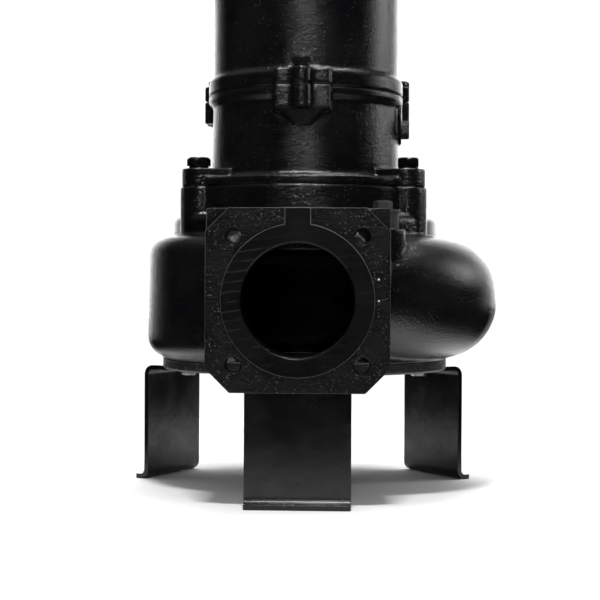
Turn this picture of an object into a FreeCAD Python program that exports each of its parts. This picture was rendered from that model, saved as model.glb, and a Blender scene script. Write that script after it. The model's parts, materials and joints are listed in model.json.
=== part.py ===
import FreeCAD
import Part
import math
import os

# A submersible sewage pump that stands on three bent sheet legs. All sizes are in millimetres.
# The shaft axis is Z, the floor is Z = 0 and the discharge flange faces -Y.

V = FreeCAD.Vector
ORIGIN = V(0, 0, 0)
UP = V(0, 0, 1)
DOWN = V(0, 0, -1)
FRONT_DEG = -90.0
FULL_TURN = 360.0

# Legs
LEG_DEGREES = (FRONT_DEG, 33.3, 153.3)
LEG_REACH = 170.0
LEG_WIDTH = 101.5
LEG_HEIGHT = 123.5
LEG_SHEET = 5.0
LEG_BEND = 5.0
LEG_FOOT = 12.0
LEG_FOOT_CORNER = 3.0
LEG_TAB_END = 14.0
LEG_TAB_CORNER = 12.0
LEG_BOLT_SPACING = 37.5
LEG_BOLT_EDGE = 13.0
LEG_BOLT_THREAD = 10.0
LEG_BOLT_FLATS = 17.0
LEG_BOLT_HEAD = 6.4
LEG_BOLT_LENGTH = 22.0

# Suction cover and wear ring
COVER_RADIUS = 149.0
COVER_PLATE = 10.0
COVER_SPIGOT = 11.0
COVER_EDGE = 1.5
SUCTION_RADIUS = 52.5
SUCTION_LIP = 7.5
SUCTION_CHAMFER = 1.5
WEAR_RING_OUTER = 66.0
WEAR_RING_HEIGHT = 12.0
RIM_HOLE_RADIUS = 2.5
RIM_HOLE_DEPTH = 9.0
RIM_HOLE_DEG = 200.0

# Volute casing
CASING_SEAT = 2.5
VOLUTE_HEIGHT = 125.0
VOLUTE_WALL = 9.0
CASING_BORE_WALL = 17.0
SPIRAL_START_DEG = 245.0
SPIRAL_START_RADIUS = 158.0
SPIRAL_RADIUS = 201.0
SPIRAL_GROWTH = 1.3
SPIRAL_STEPS = 12
START_CORNER = 18.0
FULL_CORNER = 58.0
CORNER_GROWTH = 2.0
NOZZLE_DEG = -68.0
NOZZLE_PULL = 29.0
NOZZLE_STEPS = 5
SPIRAL_INNER = 60.0
SHOULDER_HEIGHT = 20.0
SHOULDER_ROUND = 7.0
TOP_DISC_EDGE = 2.0
TOP_DISC_HEIGHT = 29.3

# Discharge neck and flange
FLANGE_AHEAD = 20.0
FLANGE_DROP = 2.0
FLANGE_SIDE = 173.0
FLANGE_PLATE = 11.0
FLANGE_BLOCK = 6.0
FLANGE_UPPER_BLOCK = 26.0
FLANGE_UPPER_LOW = 4.0
FLANGE_TOP_CUT = 22.0
FLANGE_BOTTOM_CUT = 23.0
FLANGE_ROUND = 2.5
RAISED_FACE = 72.0
RAISED_STEP = 2.0
RAISED_TAB = 24.0
DISCHARGE_RADIUS = 53.5
DISCHARGE_LENGTH = 44.0
DISCHARGE_CHAMFER = 1.5
FLANGE_CIRCLE = 170.0
FLANGE_HOLE = 8.0
FLANGE_HOLE_CHAMFER = 0.6
FLANGE_HOLES = 4
NECK_HALF_WIDTH = 68.0
NECK_ROOT_HALF_WIDTH = 88.0
NECK_ROOT = 80.0
NECK_CORNER = 54.0
NECK_ROOT_CORNER = 20.0
PASSAGE_ROOT = 80.0
PASSAGE_LEFT = 46.0
PASSAGE_RIGHT = 96.0
PASSAGE_ROOT_CORNER = 22.0

# Pillars, lugs and bolts between the casing and the oil chamber
LUG_CLEARANCE = 23.0
LUG_FIRST_DEG = 90.0
LUG_COUNT = 3
LUG_TIP = 16.0
LUG_ROOT_HALF_WIDTH = 27.0
LUG_ROOT_SINK = 11.5
LUG_HEIGHT = 18.4
PILLAR_LENGTH = 52.0
PILLAR_STEP = 1.5
CASING_BOLT_THREAD = 14.0
CASING_BOLT_FLATS = 21.0
CASING_BOLT_HEAD = 8.8
CASING_BOLT_LENGTH = 50.0
CASING_WASHER_RADIUS = 10.25
CASING_WASHER = 2.8

# Oil chamber housing
BASE_FLANGE = 9.2
SPIGOT_DEPTH = 65.3
SPIGOT_GAP = 0.1
CHAMBER_FLOOR = 12.0
CHAMBER_WALL = 9.5
CHAMBER_HEIGHT = 98.2
HOUSING_FOOT_FLARE = 2.5
HOUSING_RADIUS = 97.5
HOUSING_FOOT_ROUND = 7.0
BAND_STEP = 4.75
BAND_LOWER = 7.0
BAND_UPPER = 14.5
BAND_SLOPE = 5.5
BAND_ROUND = 2.0

# Lugs of the motor joints
JOINT_CIRCLE_REACH = 4.0
JOINT_COUNT = 3
JOINT_LUG_REACH = 10.75
JOINT_LUG_HALF_WIDTH = 28.0
JOINT_LUG_SINK = 5.5
JOINT_LUG_ROUND = 3.0
JOINT_LUG_LOWER = 23.5
JOINT_LUG_UPPER = 17.0
JOINT_BOSS = 9.5
GUSSET_HEIGHT = 13.0
GUSSET_HALF_WIDTH = 7.0
GUSSET_TOP_HALF_WIDTH = 24.0
GUSSET_DEPTH = 2.0
JOINT_BOLT_THREAD = 10.0
JOINT_BOLT_FLATS = 17.0
JOINT_BOLT_HEAD = 6.4
JOINT_BOLT_LENGTH = 36.0
JOINT_WASHER_RADIUS = 8.5
JOINT_WASHER = 2.2

# Oil plug
PLUG_DEG = -4.0
PLUG_DROP = 34.0
PLUG_PAD_WIDTH = 26.0
PLUG_PAD_HEIGHT = 41.0
PLUG_PAD_STAND = 4.0
PLUG_PAD_LIFT = 5.0
PLUG_THREAD = 12.0
PLUG_LENGTH = 10.0
PLUG_FLATS = 17.0
PLUG_HEAD = 7.0
PLUG_WASHER = 1.2
PLUG_WASHER_RADIUS = 10.0

# Air vent on the casing
VENT_X = 80.0
VENT_Y = -125.0
VENT_BOSS_RADIUS = 22.0
VENT_BOSS_RISE = 5.0
VENT_BOSS_DEPTH = 30.0
VENT_POCKET_GAP = 1.5
VENT_BODY_RADIUS = 15.5
VENT_BODY_HEIGHT = 16.0
VENT_RIM_RADIUS = 16.8
VENT_RIM_HEIGHT = 2.4
VENT_THREAD = 16.0
VENT_THREAD_LENGTH = 11.0
VENT_HOLE = 2.2
VENT_BORE = 4.0
VENT_CAP_FLATS = 16.5
VENT_CAP_HEIGHT = 8.5
VENT_CAP_LENGTH = 9.0

# Bearing bracket
BRACKET_SEAT_WALL = 3.5
BRACKET_RIM = 10.5
BRACKET_HUB = 56.0
BRACKET_DROP = 24.5
BRACKET_RISE = 12.5
BRACKET_FLOOR = 12.0
BRACKET_ROUND = 4.0
RETAINER_RADIUS = 55.0
RETAINER_BORE = 38.0
RETAINER_SHEET = 4.0
RETAINER_SCREWS = 3
RETAINER_SCREW_CIRCLE = 50.0
RETAINER_SCREW_THREAD = 5.0
RETAINER_SCREW_HEAD = 4.3
RETAINER_SCREW_HEIGHT = 3.5
RETAINER_SCREW_LENGTH = 12.0

# Bearings: bore radius, outer radius, width, balls and ball radius
LOWER_BEARING_BORE = 20.0
LOWER_BEARING_OUTER = 45.0
LOWER_BEARING_WIDTH = 23.0
LOWER_BALL = 7.54
UPPER_BEARING_BORE = 15.0
UPPER_BEARING_OUTER = 36.0
UPPER_BEARING_WIDTH = 19.0
UPPER_BALL = 6.15
BALL_COUNT = 8
RACE_GAP = 0.05
RACE_SHOULDER = 0.42
CAGE_SHEET = 2.0
CAGE_WIDTH = 0.62
CAGE_GAP = 0.2
PRELOAD_HEIGHT = 2.0
PRELOAD_WIDTH = 3.5

# Shaft seals
SEAL_SEAT_OUTER = 29.0
SEAL_SEAT_HEIGHT = 11.0
SEAL_SEAT_BORE_GAP = 1.0
SEAL_RING_OUTER = 27.5
SEAL_RING_HEIGHT = 8.0
SEAL_FACE_GAP = 0.1
SEAL_SPRING_OUTER = 26.0
SEAL_SPRING_INNER = 21.5
SEAL_SPRING_SHEET = 1.6
SEAL_SPRING_TURN_COUNT = 5
SEAL_SPRING_CREST_COUNT = 3
SEAL_SPRING_CREST = 6.0
SEAL_SPRING_LENGTH = 18.0
SEAL_COLLAR_OUTER = 27.5
SEAL_COLLAR_HEIGHT = 9.0
SEAT_STAND_OUT = 3.0

# Shaft, impeller and rotor
SHAFT_RADIUS = 20.0
SHAFT_END_RADIUS = 17.5
SHAFT_END_LENGTH = 70.0
ROTOR_SEAT_RADIUS = 24.0
SHAFT_TOP_LENGTH = 22.0
SHAFT_CHAMFER = 1.5
CIRCLIP_OUTER = 23.0
CIRCLIP_GROOVE = 18.75
CIRCLIP_SHEET = 1.75
IMPELLER_ENTRY_GAP = 10.0
IMPELLER_BACK = 8.0
IMPELLER_GAP = 5.0
IMPELLER_PASSAGE = 72.0
IMPELLER_FRONT = 7.0
IMPELLER_EYE = 50.0
IMPELLER_NECK = 58.0
IMPELLER_NECK_GAP = 0.4
IMPELLER_LIP_GAP = 1.2
IMPELLER_HUB = 29.0
IMPELLER_HUB_RISE = 3.5
HUB_RECESS = 24.0
HUB_RECESS_DEPTH = 10.0
VANE_COUNT = 2
VANE_SHEET = 8.0
VANE_SWEEP_DEG = 190.0
VANE_ROOT = 27.0
VANE_STEPS = 9
KEY_WIDTH = 10.0
KEY_HEIGHT = 8.0
KEY_SINK = 5.0
KEY_LENGTH = 40.0
KEY_INSET = 14.0
IMPELLER_WASHER_RADIUS = 23.0
IMPELLER_WASHER = 6.0
IMPELLER_BOLT_THREAD = 12.0
IMPELLER_BOLT_FLATS = 18.0
IMPELLER_BOLT_HEAD = 7.5
IMPELLER_BOLT_LENGTH = 34.0
ROTOR_SHARE = 0.6124
AIR_GAP = 0.6
ROTOR_LENGTH = 108.0
ROTOR_RISE = 39.5
END_RING_WIDTH = 17.0
END_RING_HEIGHT = 9.0
END_RING_INSET = 1.5

# Motor housing, stator and upper bearing
STATOR_WALL = 8.5
HOUSING_ENTRY_GAP = 0.5
STATOR_STOP = 3.0
WINDING_CLEARANCE = 5.5
WINDING_INSET = 4.0
WINDING_HEIGHT = 20.0
WINDING_ROUND = 7.0
MOTOR_HEAD_ROOM = 48.0
MOTOR_TOP_WALL = 12.0
UPPER_HUB = 45.0
UPPER_HUB_DEPTH = 18.0
UPPER_POCKET_DEPTH = 23.0
SHAFT_END_ROOM = 2.5
WIRE_HOLE = 8.0
WIRE_HOLE_INSET = 5.0

# Top cover
TOP_COVER_HEIGHT = 48.0
TOP_COVER_WALL = 9.0
TOP_COVER_ROUND = 24.0
TOP_COVER_INNER_ROUND = 15.0
TOP_SPIGOT_DEPTH = 6.0
TERMINAL_LENGTH = 70.0
TERMINAL_WIDTH = 26.0
TERMINAL_HEIGHT = 16.0
TERMINAL_STUDS = 3
TERMINAL_STUD = 3.0
TERMINAL_STUD_RISE = 8.0
TERMINAL_Y = -48.0

# Cable gland
GLAND_EDGE = 41.5
GLAND_BOSS = 26.0
GLAND_BOSS_RISE = 5.0
GLAND_THREAD = 32.0
GLAND_FLATS = 38.0
GLAND_HEX = 9.0
GLAND_NECK = 14.0
GLAND_NUT_FLATS = 36.0
GLAND_NUT_HEIGHT = 17.0
GLAND_NUT_ROUND = 5.0
GLAND_NUT_LIP = 3.0
GLAND_NUT_GAP = 1.5
GROMMET_OUTER = 12.5
GROMMET_HEIGHT = 14.0
CABLE_RADIUS = 9.0
CABLE_PASSAGE = 10.5

# Lifting handle
HANDLE_EDGE = 41.5
HANDLE_RISE = 58.0
HANDLE_STRAP = 8.0
HANDLE_WIDTH = 34.0
HANDLE_FOOT = 30.0
HANDLE_FOOT_ROUND = 4.0
HANDLE_BEND = 10.0
HANDLE_BOSS_RISE = 4.0
HANDLE_BOSS_HALF = 18.0
HANDLE_BOLT_THREAD = 10.0
HANDLE_BOLT_FLATS = 17.0
HANDLE_BOLT_HEAD = 6.4
HANDLE_BOLT_LENGTH = 20.0

# Shared clearances
O_RING = 4.0
O_RING_GROOVE = 3.5
O_RING_PLAY = 0.3
O_RING_FACE_COUNT = 8
BOLT_HOLE_GAP = 0.5
BOLT_TIP_ROOM = 3.0
HEAD_CHAMFER = 0.12
OVERCUT = 1.0

# Radii that follow from the sizes above
LEG_BOLT_REACH = COVER_RADIUS - LEG_BOLT_EDGE
LEG_TAB = LEG_REACH - LEG_BOLT_REACH + LEG_TAB_END
FLANGE_FACE = LEG_REACH + FLANGE_AHEAD
BAND_RADIUS = HOUSING_RADIUS + BAND_STEP
HOUSING_FOOT_RADIUS = HOUSING_RADIUS + HOUSING_FOOT_FLARE
CHAMBER_RADIUS = HOUSING_RADIUS - CHAMBER_WALL
CASING_BORE = CHAMBER_RADIUS + CASING_BORE_WALL
IMPELLER_RADIUS = CASING_BORE - IMPELLER_ENTRY_GAP
LUG_CIRCLE = HOUSING_FOOT_RADIUS + LUG_CLEARANCE
LUG_ROOT = HOUSING_RADIUS - LUG_ROOT_SINK
SHOULDER_RADIUS = LUG_CIRCLE + LUG_TIP
TOP_DISC_RADIUS = LUG_CIRCLE + TOP_DISC_EDGE
JOINT_LUG_FACE = BAND_RADIUS + JOINT_LUG_REACH
JOINT_CIRCLE = JOINT_LUG_FACE + JOINT_CIRCLE_REACH
JOINT_LUG_ROOT = HOUSING_RADIUS - JOINT_LUG_SINK
PLUG_PAD_FACE = HOUSING_RADIUS + PLUG_PAD_STAND
BRACKET_RADIUS = HOUSING_RADIUS - BRACKET_SEAT_WALL
STATOR_RADIUS = HOUSING_RADIUS - STATOR_WALL
ROTOR_RADIUS = STATOR_RADIUS * ROTOR_SHARE
WINDING_INNER = ROTOR_RADIUS + WINDING_CLEARANCE
WINDING_OUTER = STATOR_RADIUS - WINDING_INSET
WIRE_HOLE_CIRCLE = (UPPER_HUB + STATOR_RADIUS) / 2 - WIRE_HOLE_INSET
GLAND_Y = HOUSING_RADIUS - GLAND_EDGE
HANDLE_SPAN = 2 * (HOUSING_RADIUS - HANDLE_EDGE)

# Heights that follow from the sizes above
z_cover = LEG_HEIGHT
z_casing = z_cover + COVER_PLATE
z_volute = z_casing + CASING_SEAT
z_volute_top = z_volute + VOLUTE_HEIGHT
FLANGE_HEIGHT = z_volute + VOLUTE_HEIGHT / 2 - FLANGE_DROP
z_shoulder = z_volute_top + SHOULDER_HEIGHT
z_base = z_shoulder + TOP_DISC_HEIGHT
z_lug_top = z_base + LUG_HEIGHT
z_back_wall = z_base - SPIGOT_DEPTH
z_joint = z_base + CHAMBER_HEIGHT
z_bracket = z_joint - BRACKET_DROP
z_lower_bearing = z_bracket + BRACKET_FLOOR
z_rotor = z_joint + ROTOR_RISE
z_rotor_top = z_rotor + ROTOR_LENGTH
z_motor_top = z_rotor_top + MOTOR_HEAD_ROOM
z_upper_wall = z_motor_top - MOTOR_TOP_WALL
z_upper_hub = z_upper_wall - UPPER_HUB_DEPTH
z_pocket_top = z_upper_hub + UPPER_POCKET_DEPTH
z_upper_bearing = z_pocket_top - PRELOAD_HEIGHT - UPPER_BEARING_WIDTH
z_cover_top = z_motor_top + TOP_COVER_HEIGHT
z_impeller_back = z_back_wall - IMPELLER_GAP
z_shaft_step = z_impeller_back + IMPELLER_HUB_RISE
z_shaft_end = z_shaft_step - SHAFT_END_LENGTH
z_wear_ring = z_cover + SUCTION_LIP


def in_xz(a, b):
    """A point at radius a and height b in the XZ plane."""
    return V(a, 0, b)


def in_plan(z):
    """Points (a, b) lie at (X, Y) at height z."""
    return lambda a, b: V(a, b, z)


def in_radial(deg):
    """Points (a, b) lie at radius a and height b in the half plane at this angle."""
    c, s = math.cos(math.radians(deg)), math.sin(math.radians(deg))
    return lambda a, b: V(a * c, a * s, b)


def in_section(y):
    """Points (a, b) lie at (X, Z) in the plane at this Y."""
    return lambda a, b: V(a, y, b)


def rounded_wire(corners, place):
    """A closed wire through corners (a, b) or (a, b, radius), each rounded to its radius."""
    flat = [V(c[0], c[1], 0) for c in corners]
    radii = [c[2] if len(c) > 2 else 0.0 for c in corners]
    spans = []
    for i, here in enumerate(flat):
        if radii[i] <= 0:
            spans.append((here, here, here))
            continue
        before = (flat[i - 1] - here).normalize()
        after = (flat[(i + 1) % len(flat)] - here).normalize()
        half = before.getAngle(after) / 2
        reach = radii[i] / math.tan(half)
        inward = (before + after).normalize()
        middle = here + inward * (radii[i] / math.sin(half) - radii[i])
        spans.append((here + before * reach, middle, here + after * reach))
    edges = []
    for i, (start, middle, end) in enumerate(spans):
        last = spans[i - 1][2]
        if last.distanceToPoint(start) > 1e-6:
            edges.append(Part.makeLine(place(last.x, last.y), place(start.x, start.y)))
        if start.distanceToPoint(end) > 1e-6:
            points = [place(p.x, p.y) for p in (start, middle, end)]
            edges.append(Part.Arc(*points).toShape())
    return Part.Wire(edges)


def revolved(corners):
    """A solid turned about Z from a profile of (radius, height) corners."""
    return Part.Face(rounded_wire(corners, in_xz)).revolve(ORIGIN, UP, FULL_TURN)


def prism(corners, low, high):
    """A plan outline raised from one height to another."""
    return Part.Face(rounded_wire(corners, in_plan(low))).extrude(V(0, 0, high - low))


def disc(radius, low, high):
    return Part.makeCylinder(radius, high - low, V(0, 0, low))


def ring(outer, inner, low, high):
    return disc(outer, low, high).cut(disc(inner, low, high))


def turned(shape, deg):
    copy = shape.copy()
    copy.rotate(ORIGIN, UP, deg)
    return copy


def moved(shape, x, y, z):
    copy = shape.copy()
    copy.translate(V(x, y, z))
    return copy


def joined(first, *others):
    """One solid made of overlapping or touching solids, added one by one."""
    solid = first
    for other in others:
        solid = solid.fuse(other)
    return solid.removeSplitter()


def without(solid, cuts):
    """The solid with each cut taken out of it in turn."""
    for cut in cuts:
        solid = solid.cut(cut)
    return solid


def spread(count, first_deg):
    return [first_deg + i * FULL_TURN / count for i in range(count)]


def polar(radius, deg):
    return radius * math.cos(math.radians(deg)), radius * math.sin(math.radians(deg))


def hexagon(flats, low, high):
    radius = flats / math.sqrt(3)
    corners = [polar(radius, deg) for deg in spread(6, 0.0)]
    return prism(corners, low, high)


def hex_head(flats, height):
    """A hexagon head from z = 0 upwards, with its top corners turned off."""
    radius = flats / math.sqrt(3)
    cut = HEAD_CHAMFER * flats
    turned_blank = revolved([(0, 0), (radius, 0), (radius, height - cut / 2),
                             (radius - cut, height), (0, height)])
    return hexagon(flats, 0, height).common(turned_blank)


def hex_bolt(thread, length, flats, head):
    """A bolt whose head sits on z = 0 and whose shank points down."""
    return joined(hex_head(flats, head), disc(thread / 2, -length, 0))


def upside_down(shape):
    copy = shape.copy()
    copy.rotate(ORIGIN, V(1, 0, 0), 180)
    return copy


def o_ring_at(radius, z):
    """An O-ring with an eight-sided section, in an outside groove whose floor lies at this radius."""
    half = (O_RING_GROOVE - O_RING_PLAY) / 2
    centre = radius + O_RING_GROOVE / 2
    section = [polar(half, deg) for deg in spread(O_RING_FACE_COUNT, FULL_TURN / O_RING_FACE_COUNT / 2)]
    return revolved([(centre + a, z + b) for a, b in section])


def o_ring_groove(radius, z):
    """The cut for an O-ring in a round wall of this radius."""
    return ring(radius + OVERCUT, radius - O_RING_GROOVE, z - O_RING / 2, z + O_RING / 2)


def spiral_station(deg):
    """Outside radius and corner radius of the volute at an angle about the shaft."""
    if deg >= 0:
        share = (SPIRAL_START_DEG - deg) / SPIRAL_START_DEG
        radius = SPIRAL_START_RADIUS + (SPIRAL_RADIUS - SPIRAL_START_RADIUS) * share ** SPIRAL_GROWTH
        corner = START_CORNER + (FULL_CORNER - START_CORNER) * share ** CORNER_GROWTH
        return radius, corner
    share = deg / NOZZLE_DEG
    return SPIRAL_RADIUS - NOZZLE_PULL * share ** 2, FULL_CORNER


def spiral_angles(start, end):
    down = [start + (0 - start) * i / SPIRAL_STEPS for i in range(SPIRAL_STEPS)]
    nozzle = [end * i / NOZZLE_STEPS for i in range(NOZZLE_STEPS + 1)]
    return down + nozzle


def spiral_solid(start, end, inset, inner):
    """The volute from one angle round to the other, set in from the outside by a wall."""
    wires = []
    for deg in spiral_angles(start, end):
        radius, corner = spiral_station(deg)
        low, high = z_volute + inset, z_volute_top - inset
        round_off = max(corner - inset, VOLUTE_WALL)
        wires.append(rounded_wire([(inner, low), (radius - inset, low, round_off),
                                   (radius - inset, high, round_off), (inner, high)],
                                  in_radial(deg)))
    return Part.makeLoft(wires, True, False)


def rounded_box_wire(x0, x1, z0, z1, corner, y):
    return rounded_wire([(x0, z0, corner), (x1, z0, corner), (x1, z1, corner), (x0, z1, corner)],
                        in_section(y))


def lug_outline(grow):
    """Plan of a casing lug that points along +X, made larger all round by grow."""
    tip = LUG_CIRCLE + LUG_TIP + grow
    half = LUG_TIP + grow
    return [(LUG_ROOT, -LUG_ROOT_HALF_WIDTH - grow), (tip, -half, half - 0.1),
            (tip, half, half - 0.1), (LUG_ROOT, LUG_ROOT_HALF_WIDTH + grow)]


def flange_solid():
    """The square flange: a thin plate with four cut corners on a block with two."""
    half = FLANGE_SIDE / 2
    low, high = FLANGE_HEIGHT - half, FLANGE_HEIGHT + half
    top, bottom, r = FLANGE_TOP_CUT, FLANGE_BOTTOM_CUT, FLANGE_ROUND
    plate_face = -FLANGE_FACE + RAISED_STEP
    plate = Part.Face(rounded_wire([(-half + bottom, low, r), (half - bottom, low, r),
                                    (half, low + bottom, r), (half, high - top, r),
                                    (half - top, high, r), (-half + top, high, r),
                                    (-half, high - top, r), (-half, low + bottom, r)],
                                   in_section(plate_face))).extrude(V(0, FLANGE_PLATE, 0))
    block = Part.Face(rounded_wire([(-half + bottom, low, r), (half - bottom, low, r),
                                    (half, low + bottom, r), (half, high, r),
                                    (-half, high, r), (-half, low + bottom, r)],
                                   in_section(plate_face + FLANGE_PLATE))
                      ).extrude(V(0, FLANGE_BLOCK, 0))
    upper = Part.Face(rounded_wire([(-half, FLANGE_HEIGHT + FLANGE_UPPER_LOW, r),
                                    (half, FLANGE_HEIGHT + FLANGE_UPPER_LOW, r),
                                    (half, high - r, r), (-half, high - r, r)],
                                   in_section(plate_face + FLANGE_PLATE))
                      ).extrude(V(0, FLANGE_UPPER_BLOCK, 0))
    raised = Part.makeCylinder(RAISED_FACE, RAISED_STEP + OVERCUT, V(0, -FLANGE_FACE, FLANGE_HEIGHT),
                               V(0, 1, 0))
    tab = Part.makeBox(RAISED_TAB, RAISED_STEP + OVERCUT, half,
                       V(-RAISED_TAB / 2, -FLANGE_FACE, FLANGE_HEIGHT))
    return joined(plate, block, upper, raised, tab)


def flange_bore():
    """The round bore of the flange with its broken edge, cut inwards from the face."""
    bore = Part.makeCylinder(DISCHARGE_RADIUS, DISCHARGE_LENGTH, V(0, -FLANGE_FACE, FLANGE_HEIGHT),
                             V(0, 1, 0))
    mouth = Part.makeCone(DISCHARGE_RADIUS + DISCHARGE_CHAMFER, DISCHARGE_RADIUS,
                          DISCHARGE_CHAMFER, V(0, -FLANGE_FACE, FLANGE_HEIGHT), V(0, 1, 0))
    return joined(bore, mouth)


def flange_holes():
    cuts = []
    depth = FLANGE_PLATE + FLANGE_UPPER_BLOCK + OVERCUT
    face = -FLANGE_FACE + RAISED_STEP
    for deg in spread(FLANGE_HOLES, 45.0):
        x, z = polar(FLANGE_CIRCLE / 2, deg)
        at = V(x, face, FLANGE_HEIGHT + z)
        hole = Part.makeCylinder(FLANGE_HOLE, depth, at, V(0, 1, 0))
        mouth = Part.makeCone(FLANGE_HOLE + FLANGE_HOLE_CHAMFER, FLANGE_HOLE,
                              FLANGE_HOLE_CHAMFER, at, V(0, 1, 0))
        cuts.append(joined(hole, mouth))
    return cuts


def leg_bolt_places():
    """Plan positions of the leg bolts."""
    places = []
    for deg in LEG_DEGREES:
        for side in (-1, 1):
            spot = V(LEG_BOLT_REACH, side * LEG_BOLT_SPACING / 2, 0)
            places.append(turned(Part.Vertex(spot), deg).Point)
    return places


def volute_casing():
    """The cast casing: spiral channel, discharge neck and flange, seat, shoulder and pillars."""
    outside = spiral_solid(SPIRAL_START_DEG, NOZZLE_DEG, 0.0, SPIRAL_INNER)
    core = disc(CASING_BORE + VOLUTE_WALL, z_volute + OVERCUT, z_volute_top + OVERCUT)
    seat = ring(COVER_RADIUS, CASING_BORE, z_casing, z_volute + VOLUTE_WALL / 2)
    shoulder = revolved([(0, z_volute_top - VOLUTE_WALL / 2),
                         (SHOULDER_RADIUS, z_volute_top - VOLUTE_WALL / 2),
                         (SHOULDER_RADIUS, z_shoulder, SHOULDER_ROUND), (0, z_shoulder)])
    top_disc = disc(TOP_DISC_RADIUS, z_shoulder - OVERCUT, z_base)
    neck = Part.makeLoft([
        rounded_box_wire(-NECK_ROOT_HALF_WIDTH, NECK_ROOT_HALF_WIDTH, z_volute, z_volute_top,
                         NECK_ROOT_CORNER, -NECK_ROOT),
        rounded_box_wire(-NECK_HALF_WIDTH, NECK_HALF_WIDTH, z_volute, FLANGE_HEIGHT + NECK_HALF_WIDTH,
                         NECK_CORNER, -FLANGE_FACE + RAISED_STEP + FLANGE_PLATE)], True, True)
    pillar = prism(lug_outline(PILLAR_STEP), z_base - PILLAR_LENGTH, z_base)
    pillars = [turned(pillar, deg) for deg in spread(LUG_COUNT, LUG_FIRST_DEG)]
    vent_top = z_volute_top + VENT_BOSS_RISE
    vent_boss = moved(disc(VENT_BOSS_RADIUS, vent_top - VENT_BOSS_DEPTH, vent_top), VENT_X, VENT_Y, 0)
    solid = joined(outside, core, seat, shoulder, top_disc, neck, flange_solid(), vent_boss, *pillars)

    channel = spiral_solid(SPIRAL_START_DEG - 8.0, NOZZLE_DEG + 6.0, VOLUTE_WALL, SPIRAL_INNER)
    bore_end = -FLANGE_FACE + DISCHARGE_LENGTH - OVERCUT
    r = DISCHARGE_RADIUS
    passage = Part.makeLoft([
        rounded_box_wire(-PASSAGE_LEFT, PASSAGE_RIGHT, z_volute + VOLUTE_WALL,
                         z_volute_top - VOLUTE_WALL, PASSAGE_ROOT_CORNER, -PASSAGE_ROOT),
        rounded_box_wire(-r, r, FLANGE_HEIGHT - r, FLANGE_HEIGHT + r, r - 0.5, bore_end)],
        True, True)
    cuts = [channel, passage, flange_bore(), disc(CASING_BORE, z_casing - OVERCUT, z_base + OVERCUT)]
    cuts += flange_holes()
    bolt_hole = disc(CASING_BOLT_THREAD / 2,
                     z_lug_top + CASING_WASHER - CASING_BOLT_LENGTH - BOLT_TIP_ROOM, z_base + OVERCUT)
    cuts += [turned(moved(bolt_hole, LUG_CIRCLE, 0, 0), deg) for deg in spread(LUG_COUNT, LUG_FIRST_DEG)]
    leg_hole = disc(LEG_BOLT_THREAD / 2, z_casing - OVERCUT,
                    z_cover - LEG_SHEET + LEG_BOLT_LENGTH + OVERCUT)
    cuts += [moved(leg_hole, place.x, place.y, 0) for place in leg_bolt_places()]
    vent_hole = disc(VENT_THREAD / 2, vent_top - VENT_THREAD_LENGTH - BOLT_TIP_ROOM, vent_top + OVERCUT)
    vent_pocket = disc(VENT_RIM_RADIUS + VENT_POCKET_GAP, vent_top, z_base + OVERCUT)
    cuts += [moved(shape, VENT_X, VENT_Y, 0) for shape in (vent_hole, vent_pocket)]
    return without(solid, cuts)


def suction_cover():
    """The bottom cover: a plate with a spigot, the inlet and a seat for the wear ring."""
    spigot_top = z_casing + COVER_SPIGOT
    ring_top = z_wear_ring + WEAR_RING_HEIGHT
    body = revolved([
        (SUCTION_RADIUS + SUCTION_CHAMFER, z_cover), (COVER_RADIUS - COVER_EDGE, z_cover),
        (COVER_RADIUS, z_cover + COVER_EDGE), (COVER_RADIUS, z_casing),
        (CASING_BORE - SPIGOT_GAP, z_casing), (CASING_BORE - SPIGOT_GAP, spigot_top),
        (WEAR_RING_OUTER + COVER_PLATE, ring_top), (WEAR_RING_OUTER, ring_top),
        (WEAR_RING_OUTER, z_wear_ring), (SUCTION_RADIUS, z_wear_ring),
        (SUCTION_RADIUS, z_cover + SUCTION_CHAMFER)])
    cuts = [o_ring_groove(CASING_BORE - SPIGOT_GAP, z_casing + COVER_SPIGOT / 2)]
    hole = disc(LEG_BOLT_THREAD / 2 + BOLT_HOLE_GAP, z_cover - OVERCUT, z_casing + OVERCUT)
    cuts += [moved(hole, place.x, place.y, 0) for place in leg_bolt_places()]
    x, y = polar(COVER_RADIUS + OVERCUT, RIM_HOLE_DEG)
    cuts.append(Part.makeCylinder(RIM_HOLE_RADIUS, RIM_HOLE_DEPTH + OVERCUT,
                                  V(x, y, z_cover + COVER_PLATE / 2), V(-x, -y, 0)))
    return without(body, cuts)


def leg():
    """One leg pointing along +X: a tab under the cover, an upright plate and a foot."""
    outer, inner, top = LEG_REACH, LEG_REACH - LEG_SHEET, LEG_HEIGHT
    sheet, bend = LEG_SHEET, LEG_BEND
    outline = rounded_wire([
        (outer - LEG_TAB, top - sheet), (inner, top - sheet, bend), (inner, 0, bend + sheet),
        (outer + LEG_FOOT, 0), (outer + LEG_FOOT, sheet), (outer, sheet, bend),
        (outer, top, bend + sheet), (outer - LEG_TAB, top)],
        lambda a, b: V(a, -LEG_WIDTH / 2, b))
    sheet_metal = Part.Face(outline).extrude(V(0, LEG_WIDTH, 0))
    half = LEG_WIDTH / 2
    inner_tip, foot_tip = outer - LEG_TAB, outer + LEG_FOOT
    c, f = LEG_TAB_CORNER, LEG_FOOT_CORNER
    blank = prism([(inner_tip, -half + c), (inner_tip + c, -half), (foot_tip, -half, f),
                   (foot_tip, half, f), (inner_tip + c, half), (inner_tip, half - c)], 0, top)
    hole = disc(LEG_BOLT_THREAD / 2 + BOLT_HOLE_GAP, top - sheet - OVERCUT, top + OVERCUT)
    holes = [moved(hole, LEG_BOLT_REACH, side * LEG_BOLT_SPACING / 2, 0) for side in (-1, 1)]
    return sheet_metal.common(blank).cut(holes)


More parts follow.
